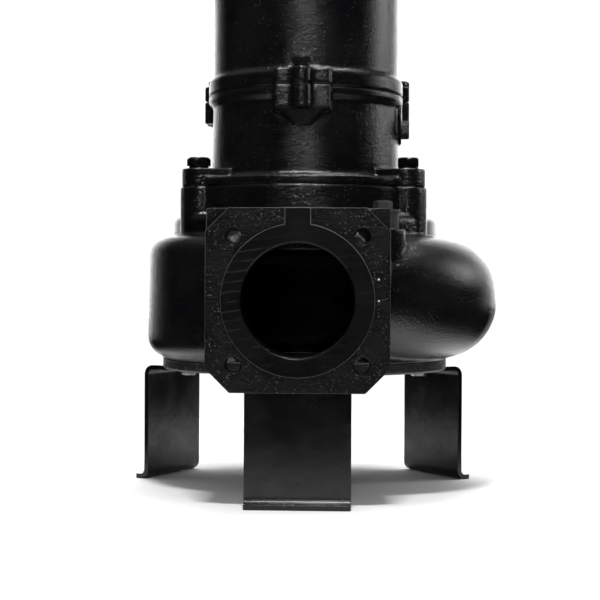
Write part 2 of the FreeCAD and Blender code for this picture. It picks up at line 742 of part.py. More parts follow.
def joint_lug(low, high, gusset):
    """A lug pair of a motor joint that points along +X, with a gusset below it if asked."""
    block = prism([(JOINT_LUG_ROOT, -JOINT_LUG_HALF_WIDTH),
                   (JOINT_LUG_FACE, -JOINT_LUG_HALF_WIDTH, JOINT_LUG_ROUND),
                   (JOINT_LUG_FACE, JOINT_LUG_HALF_WIDTH, JOINT_LUG_ROUND),
                   (JOINT_LUG_ROOT, JOINT_LUG_HALF_WIDTH)], low, high)
    boss = moved(disc(JOINT_BOSS, low, high), JOINT_CIRCLE, 0, 0)
    pieces = [block, boss]
    if gusset:
        wide = prism([(JOINT_LUG_ROOT, -GUSSET_TOP_HALF_WIDTH), (JOINT_LUG_FACE, -GUSSET_TOP_HALF_WIDTH),
                      (JOINT_LUG_FACE, GUSSET_TOP_HALF_WIDTH), (JOINT_LUG_ROOT, GUSSET_TOP_HALF_WIDTH)],
                     low, low + OVERCUT)
        tip = HOUSING_RADIUS + GUSSET_DEPTH
        top_wire = rounded_wire([(JOINT_LUG_ROOT, -GUSSET_TOP_HALF_WIDTH),
                                 (JOINT_LUG_FACE, -GUSSET_TOP_HALF_WIDTH),
                                 (JOINT_LUG_FACE, GUSSET_TOP_HALF_WIDTH),
                                 (JOINT_LUG_ROOT, GUSSET_TOP_HALF_WIDTH)], in_plan(low + OVERCUT))
        low_wire = rounded_wire([(JOINT_LUG_ROOT, -GUSSET_HALF_WIDTH), (tip, -GUSSET_HALF_WIDTH),
                                 (tip, GUSSET_HALF_WIDTH), (JOINT_LUG_ROOT, GUSSET_HALF_WIDTH)],
                                in_plan(low - GUSSET_HEIGHT))
        pieces += [wide, Part.makeLoft([low_wire, top_wire], True, True)]
    return pieces


def lug_ring(low, high, first_deg, gusset):
    return [turned(piece, deg) for deg in spread(JOINT_COUNT, first_deg)
            for piece in joint_lug(low, high, gusset)]


def joint_holes(radius, low, high, first_deg):
    hole = moved(disc(radius, low, high), JOINT_CIRCLE, 0, 0)
    return [turned(hole, deg) for deg in spread(JOINT_COUNT, first_deg)]


def oil_chamber_housing():
    """The cast housing between the casing and the motor, with its spigot and both lug rings."""
    outer = [
        (SEAL_SEAT_OUTER, z_back_wall), (CASING_BORE - SPIGOT_GAP, z_back_wall),
        (CASING_BORE - SPIGOT_GAP, z_base), (TOP_DISC_RADIUS, z_base),
        (TOP_DISC_RADIUS, z_base + BASE_FLANGE, BAND_ROUND),
        (HOUSING_FOOT_RADIUS, z_base + BASE_FLANGE, HOUSING_FOOT_ROUND),
        (HOUSING_RADIUS, z_joint - BAND_LOWER - BAND_SLOPE),
        (BAND_RADIUS, z_joint - BAND_LOWER), (BAND_RADIUS, z_joint)]
    inner = [
        (BRACKET_RADIUS, z_joint), (BRACKET_RADIUS, z_joint - BRACKET_RIM),
        (CHAMBER_RADIUS, z_joint - BRACKET_RIM),
        (CHAMBER_RADIUS, z_back_wall + CHAMBER_FLOOR, BRACKET_ROUND),
        (SEAL_SEAT_OUTER, z_back_wall + CHAMBER_FLOOR)]
    shell = revolved(outer + inner)
    lug = prism(lug_outline(0.0), z_base, z_lug_top)
    lugs = [turned(lug, deg) for deg in spread(LUG_COUNT, LUG_FIRST_DEG)]
    low = z_joint - JOINT_LUG_LOWER
    lugs += lug_ring(low, z_joint, FRONT_DEG, True)
    z_plug = z_joint - PLUG_DROP
    half, w = PLUG_PAD_HEIGHT / 2, PLUG_PAD_WIDTH / 2
    pad_mid = z_plug + PLUG_PAD_LIFT
    pad = Part.Face(rounded_wire([(-w, pad_mid - half, w - 0.1), (w, pad_mid - half, w - 0.1),
                                  (w, pad_mid + half, w - 0.1), (-w, pad_mid + half, w - 0.1)],
                                 lambda a, b: V(CHAMBER_RADIUS + OVERCUT, a, b))
                    ).extrude(V(PLUG_PAD_FACE - CHAMBER_RADIUS - OVERCUT, 0, 0))
    solid = joined(shell, turned(pad, PLUG_DEG), *lugs)
    hollow = disc(CHAMBER_RADIUS, z_base, z_joint)
    seat_room = disc(BRACKET_RADIUS, z_joint - BRACKET_RIM, z_joint + OVERCUT)
    cuts = [hollow, seat_room, o_ring_groove(CASING_BORE - SPIGOT_GAP, z_base - SPIGOT_DEPTH / 4)]
    hole = moved(disc(CASING_BOLT_THREAD / 2 + BOLT_HOLE_GAP, z_base - OVERCUT, z_lug_top + OVERCUT),
                 LUG_CIRCLE, 0, 0)
    cuts += [turned(hole, deg) for deg in spread(LUG_COUNT, LUG_FIRST_DEG)]
    tip = z_joint + JOINT_LUG_UPPER + JOINT_WASHER - JOINT_BOLT_LENGTH - BOLT_TIP_ROOM
    cuts += joint_holes(JOINT_BOLT_THREAD / 2, tip, z_joint + OVERCUT, FRONT_DEG)
    drill = Part.makeCylinder(PLUG_THREAD / 2, PLUG_PAD_FACE, V(0, 0, z_plug), V(1, 0, 0))
    cuts.append(turned(drill, PLUG_DEG))
    return without(solid, cuts)


def bearing_bracket():
    """The disc under the motor that holds the lower bearing and the upper seal seat."""
    rim_low = z_joint - BRACKET_RIM
    top = z_joint + BRACKET_RISE
    body = revolved([
        (SEAL_SEAT_OUTER, z_bracket), (BRACKET_HUB, z_bracket, BRACKET_ROUND),
        (BRACKET_HUB, rim_low, BRACKET_ROUND), (BRACKET_RADIUS, rim_low), (BRACKET_RADIUS, z_joint),
        (BRACKET_HUB, z_joint, BRACKET_ROUND), (BRACKET_HUB, top),
        (LOWER_BEARING_OUTER, top), (LOWER_BEARING_OUTER, z_lower_bearing),
        (SEAL_SEAT_OUTER, z_lower_bearing)])
    cuts = [o_ring_groove(BRACKET_RADIUS, z_joint - BRACKET_RIM / 2)]
    hole = disc(RETAINER_SCREW_THREAD / 2, top - RETAINER_SCREW_LENGTH, top + OVERCUT)
    cuts += [moved(hole, *polar(RETAINER_SCREW_CIRCLE, deg), 0)
             for deg in spread(RETAINER_SCREWS, FRONT_DEG)]
    return without(body, cuts)


def bearing_retainer():
    top = z_joint + BRACKET_RISE
    plate = ring(RETAINER_RADIUS, RETAINER_BORE, top, top + RETAINER_SHEET)
    hole = disc(RETAINER_SCREW_THREAD / 2 + BOLT_HOLE_GAP, top - OVERCUT, top + RETAINER_SHEET + OVERCUT)
    return plate.cut([moved(hole, *polar(RETAINER_SCREW_CIRCLE, deg), 0)
                      for deg in spread(RETAINER_SCREWS, FRONT_DEG)])


def retainer_screws():
    top = z_joint + BRACKET_RISE + RETAINER_SHEET
    screw = joined(disc(RETAINER_SCREW_HEAD, top, top + RETAINER_SCREW_HEIGHT),
                   disc(RETAINER_SCREW_THREAD / 2, top - RETAINER_SCREW_LENGTH, top))
    return [moved(screw, *polar(RETAINER_SCREW_CIRCLE, deg), 0)
            for deg in spread(RETAINER_SCREWS, FRONT_DEG)]


def bearing(bore, outer, width, ball, low):
    """A ball bearing on the shaft: outer ring, inner ring, balls and cage."""
    pitch = (bore + outer) / 2
    middle = low + width / 2
    groove = Part.makeTorus(pitch, ball + RACE_GAP, V(0, 0, middle))
    shoulder = ball * RACE_SHOULDER
    outer_ring = ring(outer, pitch + shoulder, low, low + width).cut(groove)
    inner_ring = ring(pitch - shoulder, bore, low, low + width).cut(groove)
    centres = [polar(pitch, deg) for deg in spread(BALL_COUNT, 0.0)]
    balls = [Part.makeSphere(ball, V(x, y, middle)) for x, y in centres]
    half = ball * CAGE_WIDTH
    band = ring(pitch + CAGE_SHEET / 2, pitch - CAGE_SHEET / 2, middle - half, middle + half)
    rim = ring(pitch + CAGE_SHEET / 2, pitch - CAGE_SHEET / 2, middle + half,
               middle + ball + CAGE_SHEET)
    pockets = [Part.makeSphere(ball + CAGE_GAP, V(x, y, middle)) for x, y in centres]
    cage = joined(band, rim).cut(pockets)
    return outer_ring, inner_ring, balls, cage


def wave_spring(low, high):
    """A wave spring about Z: flat turns that meet at staggered crests."""
    sheet, turns = SEAL_SPRING_SHEET, SEAL_SPRING_TURN_COUNT
    gap = (high - low - turns * sheet) / (turns - 1)
    pieces = []
    for i in range(turns):
        start = low + i * (sheet + gap)
        pieces.append(ring(SEAL_SPRING_OUTER, SEAL_SPRING_INNER, start, start + sheet))
        if i < turns - 1:
            crest = Part.makeBox(SEAL_SPRING_OUTER - SEAL_SPRING_INNER, SEAL_SPRING_CREST, gap,
                                 V(SEAL_SPRING_INNER, -SEAL_SPRING_CREST / 2, start + sheet))
            first = (i % 2) * FULL_TURN / SEAL_SPRING_CREST_COUNT / 2
            pieces += [turned(crest, deg) for deg in spread(SEAL_SPRING_CREST_COUNT, first)]
    return joined(*pieces)


def shaft_seal(face, way):
    """One shaft seal: way is 1 where the rotating half lies above the seat, -1 below it."""
    def span(start, length):
        ends = sorted((face + way * start, face + way * (start + length)))
        return ends[0], ends[1]
    seat = ring(SEAL_SEAT_OUTER, SHAFT_RADIUS + SEAL_SEAT_BORE_GAP, *span(-SEAL_SEAT_HEIGHT, SEAL_SEAT_HEIGHT))
    ring_start = SEAL_FACE_GAP
    seal_ring = ring(SEAL_RING_OUTER, SHAFT_RADIUS, *span(ring_start, SEAL_RING_HEIGHT))
    spring_start = ring_start + SEAL_RING_HEIGHT
    spring = wave_spring(*span(spring_start, SEAL_SPRING_LENGTH))
    collar_start = spring_start + SEAL_SPRING_LENGTH
    collar = ring(SEAL_COLLAR_OUTER, SHAFT_RADIUS, *span(collar_start, SEAL_COLLAR_HEIGHT))
    return seat, seal_ring, spring, collar


def shaft():
    """The stepped shaft with its keyway, circlip groove and threaded end."""
    lower_top = z_lower_bearing + LOWER_BEARING_WIDTH
    upper_top = z_upper_bearing + UPPER_BEARING_WIDTH + SHAFT_END_ROOM
    body = revolved([
        (0, z_shaft_end), (SHAFT_END_RADIUS - SHAFT_CHAMFER, z_shaft_end),
        (SHAFT_END_RADIUS, z_shaft_end + SHAFT_CHAMFER), (SHAFT_END_RADIUS, z_shaft_step),
        (SHAFT_RADIUS, z_shaft_step), (SHAFT_RADIUS, lower_top),
        (ROTOR_SEAT_RADIUS, lower_top), (ROTOR_SEAT_RADIUS, z_rotor_top),
        (SHAFT_RADIUS, z_rotor_top), (SHAFT_RADIUS, z_upper_bearing),
        (UPPER_BEARING_BORE, z_upper_bearing),
        (UPPER_BEARING_BORE, upper_top - SHAFT_CHAMFER),
        (UPPER_BEARING_BORE - SHAFT_CHAMFER, upper_top), (0, upper_top)])
    groove = ring(SHAFT_RADIUS + OVERCUT, CIRCLIP_GROOVE, z_lower_bearing - CIRCLIP_SHEET, z_lower_bearing)
    thread = disc(IMPELLER_BOLT_THREAD / 2, z_shaft_end - OVERCUT,
                  z_shaft_end - IMPELLER_WASHER + IMPELLER_BOLT_LENGTH + BOLT_TIP_ROOM)
    return body.cut([groove, thread, impeller_key()])


def impeller_key():
    low = z_shaft_step - KEY_INSET - KEY_LENGTH
    floor = SHAFT_END_RADIUS - KEY_SINK
    return Part.makeBox(KEY_WIDTH, KEY_HEIGHT, KEY_LENGTH, V(-KEY_WIDTH / 2, floor, low))


def vane_outline():
    """Both sides of a vane in plan: an even spiral from the hub to the rim."""
    sides = []
    for side in (-1, 1):
        points = []
        for i in range(VANE_STEPS + 1):
            share = i / VANE_STEPS
            radius = VANE_ROOT + (IMPELLER_RADIUS - VANE_ROOT) * share
            slope = math.atan2(IMPELLER_RADIUS - VANE_ROOT, radius * math.radians(VANE_SWEEP_DEG))
            x, y = polar(radius, VANE_SWEEP_DEG * share)
            lean = math.radians(VANE_SWEEP_DEG * share) - slope
            points.append(V(x + side * VANE_SHEET / 2 * math.cos(lean),
                            y + side * VANE_SHEET / 2 * math.sin(lean), 0))
        sides.append(points)
    return sides


def impeller():
    """A closed impeller with two long vanes, an eye below and a keyed hub."""
    back_low = z_impeller_back - IMPELLER_BACK
    front_top = back_low - IMPELLER_PASSAGE
    front_low = front_top - IMPELLER_FRONT
    neck_low = z_wear_ring + IMPELLER_LIP_GAP
    back = disc(IMPELLER_RADIUS, back_low, z_impeller_back)
    front = ring(IMPELLER_RADIUS, IMPELLER_EYE, front_low, front_top)
    neck = ring(IMPELLER_NECK, IMPELLER_EYE, neck_low, front_low + OVERCUT)
    hub_low = z_shaft_end - IMPELLER_WASHER - HUB_RECESS_DEPTH
    hub = revolved([(0, hub_low), (IMPELLER_HUB - BRACKET_ROUND, hub_low),
                    (IMPELLER_HUB, hub_low + BRACKET_ROUND), (IMPELLER_HUB, z_shaft_step),
                    (0, z_shaft_step)])
    left, right = vane_outline()
    near, far = Part.BSplineCurve(), Part.BSplineCurve()
    near.interpolate(left)
    far.interpolate(right)
    wire = Part.Wire([near.toShape(), Part.makeLine(left[-1], right[-1]), far.toShape(),
                      Part.makeLine(right[0], left[0])])
    blade = Part.Face(wire).extrude(V(0, 0, back_low - front_top + 2 * OVERCUT))
    blade = moved(blade, 0, 0, front_top - OVERCUT).common(disc(IMPELLER_RADIUS, front_low, z_impeller_back))
    blades = [turned(blade, deg) for deg in spread(VANE_COUNT, 0.0)]
    solid = joined(back, front, neck, hub, *blades)
    cuts = [disc(SHAFT_END_RADIUS, z_shaft_end - IMPELLER_WASHER, z_shaft_step + OVERCUT),
            disc(HUB_RECESS, hub_low - OVERCUT, z_shaft_end),
            impeller_key()]
    return without(solid, cuts)


def motor_housing():
    """The finless motor barrel with a lug ring at each end and the upper bearing pocket."""
    low, high = z_joint, z_motor_top
    entry = STATOR_RADIUS + HOUSING_ENTRY_GAP
    stop = STATOR_RADIUS - STATOR_STOP
    shell = revolved([
        (entry, low), (BAND_RADIUS, low), (BAND_RADIUS, low + BAND_UPPER),
        (HOUSING_RADIUS, low + BAND_UPPER + BAND_SLOPE),
        (HOUSING_RADIUS, high - BAND_UPPER - BAND_SLOPE), (BAND_RADIUS, high - BAND_UPPER),
        (BAND_RADIUS, high), (0, high), (0, z_pocket_top + SHAFT_END_ROOM + OVERCUT),
        (UPPER_BEARING_BORE + OVERCUT, z_pocket_top + SHAFT_END_ROOM + OVERCUT),
        (UPPER_BEARING_BORE + OVERCUT, z_pocket_top), (UPPER_BEARING_OUTER, z_pocket_top),
        (UPPER_BEARING_OUTER, z_upper_hub), (UPPER_HUB, z_upper_hub),
        (UPPER_HUB, z_upper_wall, BRACKET_ROUND), (stop, z_upper_wall, BRACKET_ROUND),
        (stop, z_rotor_top), (STATOR_RADIUS, z_rotor_top), (STATOR_RADIUS, z_rotor),
        (entry, z_rotor)])
    lugs = lug_ring(low, low + JOINT_LUG_UPPER, FRONT_DEG, False)
    lugs += lug_ring(high - JOINT_LUG_LOWER, high, FRONT_DEG, True)
    solid = joined(shell, *lugs)
    cuts = [disc(STATOR_RADIUS - STATOR_STOP - BRACKET_ROUND, z_rotor, z_upper_hub - OVERCUT)]
    cuts += joint_holes(JOINT_BOLT_THREAD / 2 + BOLT_HOLE_GAP, low - OVERCUT,
                        low + JOINT_LUG_UPPER + OVERCUT, FRONT_DEG)
    tip = high + JOINT_LUG_UPPER + JOINT_WASHER - JOINT_BOLT_LENGTH - BOLT_TIP_ROOM
    cuts += joint_holes(JOINT_BOLT_THREAD / 2, tip, high + OVERCUT, FRONT_DEG)
    cuts.append(moved(disc(WIRE_HOLE, z_upper_wall - OVERCUT, high + OVERCUT), WIRE_HOLE_CIRCLE, 0, 0))
    cuts.append(ring(STATOR_RADIUS - STATOR_STOP, UPPER_HUB + BRACKET_ROUND, z_joint - OVERCUT,
                     z_upper_wall - BRACKET_ROUND))
    return without(solid, cuts)


def stator_windings():
    """The end turns of the winding, above and below the core."""
    low = revolved([(WINDING_INNER, z_rotor - WINDING_HEIGHT, WINDING_ROUND),
                    (WINDING_OUTER, z_rotor - WINDING_HEIGHT, WINDING_ROUND),
                    (WINDING_OUTER, z_rotor), (WINDING_INNER, z_rotor)])
    high = revolved([(WINDING_INNER, z_rotor_top), (WINDING_OUTER, z_rotor_top),
                     (WINDING_OUTER, z_rotor_top + WINDING_HEIGHT, WINDING_ROUND),
                     (WINDING_INNER, z_rotor_top + WINDING_HEIGHT, WINDING_ROUND)])
    return [low, high]


def rotor_end_rings():
    outer = ROTOR_RADIUS - END_RING_INSET
    inner = outer - END_RING_WIDTH
    return [ring(outer, inner, z_rotor - END_RING_HEIGHT, z_rotor),
            ring(outer, inner, z_rotor_top, z_rotor_top + END_RING_HEIGHT)]


def top_cover():
    """The cap over the terminals, with its lugs, gland boss and two handle bosses."""
    low, high = z_motor_top, z_cover_top
    inside = HOUSING_RADIUS - TOP_COVER_WALL
    shell = revolved([
        (inside, low), (BAND_RADIUS, low), (BAND_RADIUS, low + BAND_UPPER),
        (HOUSING_RADIUS, low + BAND_UPPER + BAND_SLOPE),
        (HOUSING_RADIUS, high, TOP_COVER_ROUND), (0, high), (0, high - TOP_COVER_WALL),
        (inside, high - TOP_COVER_WALL, TOP_COVER_INNER_ROUND)])
    lugs = lug_ring(low, low + JOINT_LUG_UPPER, FRONT_DEG, False)
    hollow = disc(inside, low - OVERCUT, high - TOP_COVER_WALL - TOP_COVER_INNER_ROUND)
    gland_boss = moved(disc(GLAND_BOSS, high - TOP_COVER_WALL, high + GLAND_BOSS_RISE), 0, GLAND_Y, 0)
    half, half_y = HANDLE_BOSS_HALF, HANDLE_WIDTH / 2 + BRACKET_ROUND
    bosses = []
    for side in (-1, 1):
        x = side * HANDLE_SPAN / 2
        bosses.append(prism([(x - half, -half_y, BRACKET_ROUND), (x + half, -half_y, BRACKET_ROUND),
                             (x + half, half_y, BRACKET_ROUND), (x - half, half_y, BRACKET_ROUND)],
                            high - TOP_COVER_WALL, high + HANDLE_BOSS_RISE))
    solid = joined(shell, gland_boss, *lugs, *bosses)
    cuts = [hollow]
    cuts += joint_holes(JOINT_BOLT_THREAD / 2 + BOLT_HOLE_GAP, low - OVERCUT,
                        low + JOINT_LUG_UPPER + OVERCUT, FRONT_DEG)
    cuts.append(moved(disc(GLAND_THREAD / 2, high - TOP_COVER_WALL - OVERCUT,
                           high + GLAND_BOSS_RISE + OVERCUT), 0, GLAND_Y, 0))
    seat = high + HANDLE_BOSS_RISE
    hole = disc(HANDLE_BOLT_THREAD / 2, seat + HANDLE_STRAP - HANDLE_BOLT_LENGTH, seat + OVERCUT)
    cuts += [moved(hole, side * HANDLE_SPAN / 2, 0, 0) for side in (-1, 1)]
    return without(solid, cuts)


def terminal_block():
    """The block on the motor's top wall and its studs, as one piece each."""
    low = z_motor_top
    block = Part.makeBox(TERMINAL_LENGTH, TERMINAL_WIDTH, TERMINAL_HEIGHT,
                         V(-TERMINAL_LENGTH / 2, TERMINAL_Y - TERMINAL_WIDTH / 2, low))
    studs = []
    pitch = TERMINAL_LENGTH / TERMINAL_STUDS
    for i in range(TERMINAL_STUDS):
        x = (i + 0.5) * pitch - TERMINAL_LENGTH / 2
        studs.append(moved(disc(TERMINAL_STUD, low + TERMINAL_HEIGHT - OVERCUT,
                                low + TERMINAL_HEIGHT + TERMINAL_STUD_RISE), x, TERMINAL_Y, 0))
    return joined(block, *studs)


def cable_gland():
    """Gland body, rubber grommet and gland nut about a free cable passage."""
    seat = z_cover_top + GLAND_BOSS_RISE
    bottom = z_cover_top - TOP_COVER_WALL
    hex_top = seat + GLAND_HEX
    neck_top = hex_top + GLAND_NECK
    neck_radius = GLAND_THREAD / 2
    body = joined(disc(neck_radius, bottom, seat), hexagon(GLAND_FLATS, seat, hex_top),
                  disc(neck_radius, hex_top, neck_top))
    grommet_low = neck_top - GROMMET_HEIGHT + OVERCUT
    body = body.cut([disc(CABLE_PASSAGE, bottom - OVERCUT, neck_top + OVERCUT),
                     disc(GROMMET_OUTER, grommet_low, neck_top + OVERCUT)])
    grommet = ring(GROMMET_OUTER, CABLE_RADIUS, grommet_low, grommet_low + GROMMET_HEIGHT)
    nut_low = hex_top + GLAND_NUT_GAP
    nut_top = grommet_low + GROMMET_HEIGHT + GLAND_NUT_LIP
    nut_blank = revolved([(0, nut_low), (GLAND_NUT_FLATS, nut_low),
                          (GLAND_NUT_FLATS / 2 + 1.5, nut_top, GLAND_NUT_ROUND), (0, nut_top)])
    nut = hexagon(GLAND_NUT_FLATS, nut_low, nut_top).common(nut_blank)
    nut = nut.cut([disc(neck_radius, nut_low - OVERCUT, grommet_low + GROMMET_HEIGHT),
                   disc(CABLE_PASSAGE, nut_low, nut_top + OVERCUT)])
    return [moved(shape, 0, GLAND_Y, 0) for shape in (body, nut, grommet)]


def lifting_handle():
    """A flat strap bent to a stirrup, with a drilled foot at each end."""
    seat = z_cover_top + HANDLE_BOSS_RISE
    t, bend = HANDLE_STRAP, HANDLE_BEND
    inner = HANDLE_SPAN / 2 - HANDLE_FOOT / 2 - t
    top = seat + HANDLE_RISE
    right = [(inner, seat, HANDLE_FOOT_ROUND + t / 2), (inner + t + HANDLE_FOOT, seat),
             (inner + t + HANDLE_FOOT, seat + t), (inner + t, seat + t, HANDLE_FOOT_ROUND),
             (inner + t, top, bend + t)]
    left = [(-a[0],) + a[1:] for a in reversed(right)]
    under = [(-inner, top - t, bend), (inner, top - t, bend)]
    outline = rounded_wire(under + right + left,
                           lambda a, b: V(a, -HANDLE_WIDTH / 2, b))
    strap = Part.Face(outline).extrude(V(0, HANDLE_WIDTH, 0))
    hole = disc(HANDLE_BOLT_THREAD / 2 + BOLT_HOLE_GAP, seat - OVERCUT, seat + t + OVERCUT)
    return strap.cut([moved(hole, side * HANDLE_SPAN / 2, 0, 0) for side in (-1, 1)])


def save(name, pieces):
    """Write one sub-part, a solid or a group of separate solids, to its own file."""
    solids = pieces if isinstance(pieces, list) else [pieces]
    single = [solid for piece in solids for solid in piece.Solids]
    for solid in single:
        if not solid.isValid():
            print("not valid:", name)
    shape = single[0] if len(single) == 1 else Part.makeCompound(single)
    shape.exportStep("parts/" + name + ".step")
    print(name, len(single), round(sum(solid.Volume for solid in single) / 1000, 1), "cm3")


def spring_washers(radius, thread, height):
    return ring(radius, thread / 2 + BOLT_HOLE_GAP, 0, height)


def build_base():
    save("volute_casing", volute_casing())
    save("suction_cover", suction_cover())
    wear_inner = IMPELLER_NECK + IMPELLER_NECK_GAP
    save("wear_ring", ring(WEAR_RING_OUTER, wear_inner, z_wear_ring, z_wear_ring + WEAR_RING_HEIGHT))
    save("suction_cover_o_ring",
         o_ring_at(CASING_BORE - SPIGOT_GAP - O_RING_GROOVE, z_casing + COVER_SPIGOT / 2))
    names = ["leg_front", "leg_rear_right", "leg_rear_left"]
    for name, deg in zip(names, LEG_DEGREES):
        save(name, turned(leg(), deg))
    bolt = upside_down(hex_bolt(LEG_BOLT_THREAD, LEG_BOLT_LENGTH, LEG_BOLT_FLATS, LEG_BOLT_HEAD))
    save("leg_bolts", [moved(bolt, place.x, place.y, z_cover - LEG_SHEET) for place in leg_bolt_places()])
    vent_seat = z_volute_top + VENT_BOSS_RISE
    body_top = vent_seat + VENT_BODY_HEIGHT
    rim_top = body_top + VENT_RIM_HEIGHT
    vent = joined(disc(VENT_THREAD / 2, vent_seat - VENT_THREAD_LENGTH, vent_seat),
                  disc(VENT_BODY_RADIUS, vent_seat, body_top), disc(VENT_RIM_RADIUS, body_top, rim_top))
    side_hole = Part.makeCylinder(VENT_HOLE, VENT_RIM_RADIUS + OVERCUT,
                                  V(0, 0, vent_seat + VENT_BODY_HEIGHT / 2), V(0, -1, 0))
    vent = vent.cut([disc(VENT_BORE, vent_seat - VENT_THREAD_LENGTH - OVERCUT, rim_top + OVERCUT),
                     side_hole])
    save("vent_body", moved(vent, VENT_X, VENT_Y, 0))
    cap = hex_bolt(2 * VENT_BORE, VENT_CAP_LENGTH - VENT_CAP_HEIGHT + VENT_RIM_HEIGHT,
                   VENT_CAP_FLATS, VENT_CAP_HEIGHT)
    save("vent_cap", moved(cap, VENT_X, VENT_Y, rim_top))


def build_oil_chamber():
    save("oil_chamber_housing", oil_chamber_housing())
    save("casing_o_ring", o_ring_at(CASING_BORE - SPIGOT_GAP - O_RING_GROOVE, z_base - SPIGOT_DEPTH / 4))
    angles = spread(LUG_COUNT, LUG_FIRST_DEG)
    bolt = moved(hex_bolt(CASING_BOLT_THREAD, CASING_BOLT_LENGTH, CASING_BOLT_FLATS, CASING_BOLT_HEAD),
                 LUG_CIRCLE, 0, z_lug_top + CASING_WASHER)
    save("casing_bolts", [turned(bolt, deg) for deg in angles])
    washer = moved(spring_washers(CASING_WASHER_RADIUS, CASING_BOLT_THREAD, CASING_WASHER),
                   LUG_CIRCLE, 0, z_lug_top)
    save("casing_spring_washers", [turned(washer, deg) for deg in angles])
    z_plug = z_joint - PLUG_DROP
    plug = hex_bolt(PLUG_THREAD, PLUG_LENGTH, PLUG_FLATS, PLUG_HEAD)
    seal = ring(PLUG_WASHER_RADIUS, PLUG_THREAD / 2 + BOLT_HOLE_GAP / 2, 0, PLUG_WASHER)
    for name, shape, stand in (("oil_plug", plug, PLUG_WASHER), ("oil_plug_washer", seal, 0.0)):
        sideways = shape.copy()
        sideways.rotate(ORIGIN, V(0, 1, 0), 90)
        save(name, turned(moved(sideways, PLUG_PAD_FACE + stand, 0, z_plug), PLUG_DEG))
    save("bearing_bracket", bearing_bracket())
    save("bracket_o_ring", o_ring_at(BRACKET_RADIUS - O_RING_GROOVE, z_joint - BRACKET_RIM / 2))
    save("bearing_retainer", bearing_retainer())
    save("retainer_screws", retainer_screws())


def build_seals_and_bearings():
    lower = shaft_seal(z_back_wall + CHAMBER_FLOOR + SEAT_STAND_OUT, 1)
    upper = shaft_seal(z_bracket - SEAT_STAND_OUT, -1)
    for name, low, high in zip(("seal_seats", "seal_rings", "seal_springs", "seal_collars"), lower, upper):
        save(name, [low, high])
    parts = bearing(LOWER_BEARING_BORE, LOWER_BEARING_OUTER, LOWER_BEARING_WIDTH, LOWER_BALL,
                    z_lower_bearing)
    names = ("bearing_outer_ring", "bearing_inner_ring", "bearing_balls", "bearing_cage")
    for name, piece in zip(names, parts):
        save("lower_" + name, piece)
    parts = bearing(UPPER_BEARING_BORE, UPPER_BEARING_OUTER, UPPER_BEARING_WIDTH, UPPER_BALL,
                    z_upper_bearing)
    for name, piece in zip(names, parts):
        save("upper_" + name, piece)
    save("preload_spring", ring(UPPER_BEARING_OUTER - SPIGOT_GAP, UPPER_BEARING_OUTER - PRELOAD_WIDTH,
                                z_pocket_top - PRELOAD_HEIGHT, z_pocket_top))
    save("bearing_circlip", ring(CIRCLIP_OUTER, CIRCLIP_GROOVE, z_lower_bearing - CIRCLIP_SHEET,
                                 z_lower_bearing))


def build_rotor():
    save("shaft", shaft())
    save("impeller", impeller())
    save("impeller_key", impeller_key())
    save("impeller_washer", ring(IMPELLER_WASHER_RADIUS, IMPELLER_BOLT_THREAD / 2,
                                 z_shaft_end - IMPELLER_WASHER, z_shaft_end))
    bolt = upside_down(hex_bolt(IMPELLER_BOLT_THREAD, IMPELLER_BOLT_LENGTH, IMPELLER_BOLT_FLATS,
                                IMPELLER_BOLT_HEAD))
    save("impeller_bolt", moved(bolt, 0, 0, z_shaft_end - IMPELLER_WASHER))
    save("rotor_core", ring(ROTOR_RADIUS, ROTOR_SEAT_RADIUS, z_rotor, z_rotor_top))
    save("rotor_end_rings", rotor_end_rings())


def build_motor():
    save("motor_housing", motor_housing())
    angles = spread(JOINT_COUNT, FRONT_DEG)
    bolt = hex_bolt(JOINT_BOLT_THREAD, JOINT_BOLT_LENGTH, JOINT_BOLT_FLATS, JOINT_BOLT_HEAD)
    washer = spring_washers(JOINT_WASHER_RADIUS, JOINT_BOLT_THREAD, JOINT_WASHER)
    for name, level in (("motor", z_joint), ("top_cover", z_motor_top)):
        seat = level + JOINT_LUG_UPPER
        save(name + "_bolts", [turned(moved(bolt, JOINT_CIRCLE, 0, seat + JOINT_WASHER), deg)
                               for deg in angles])
        save(name + "_spring_washers", [turned(moved(washer, JOINT_CIRCLE, 0, seat), deg)
                                        for deg in angles])
    save("stator_core", ring(STATOR_RADIUS, ROTOR_RADIUS + AIR_GAP, z_rotor, z_rotor_top))
    save("stator_windings", stator_windings())


def build_top():
    save("top_cover", top_cover())
    save("terminal_block", terminal_block())
    body, nut, grommet = cable_gland()
    save("cable_gland_body", body)
    save("cable_gland_nut", nut)
    save("cable_gland_grommet", grommet)
    save("lifting_handle", lifting_handle())
    bolt = hex_bolt(HANDLE_BOLT_THREAD, HANDLE_BOLT_LENGTH, HANDLE_BOLT_FLATS, HANDLE_BOLT_HEAD)
    seat = z_cover_top + HANDLE_BOSS_RISE + HANDLE_STRAP
    save("handle_bolts", [moved(bolt, side * HANDLE_SPAN / 2, 0, seat) for side in (-1, 1)])


os.makedirs("parts", exist_ok=True)
build_base()
build_oil_chamber()
build_seals_and_bearings()
build_rotor()
build_motor()
build_top()
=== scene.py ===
"""A submersible sewage pump in gloss black paint, lit on a white floor as in the photograph."""
import json
import math

import bpy
from mathutils import Matrix, Vector


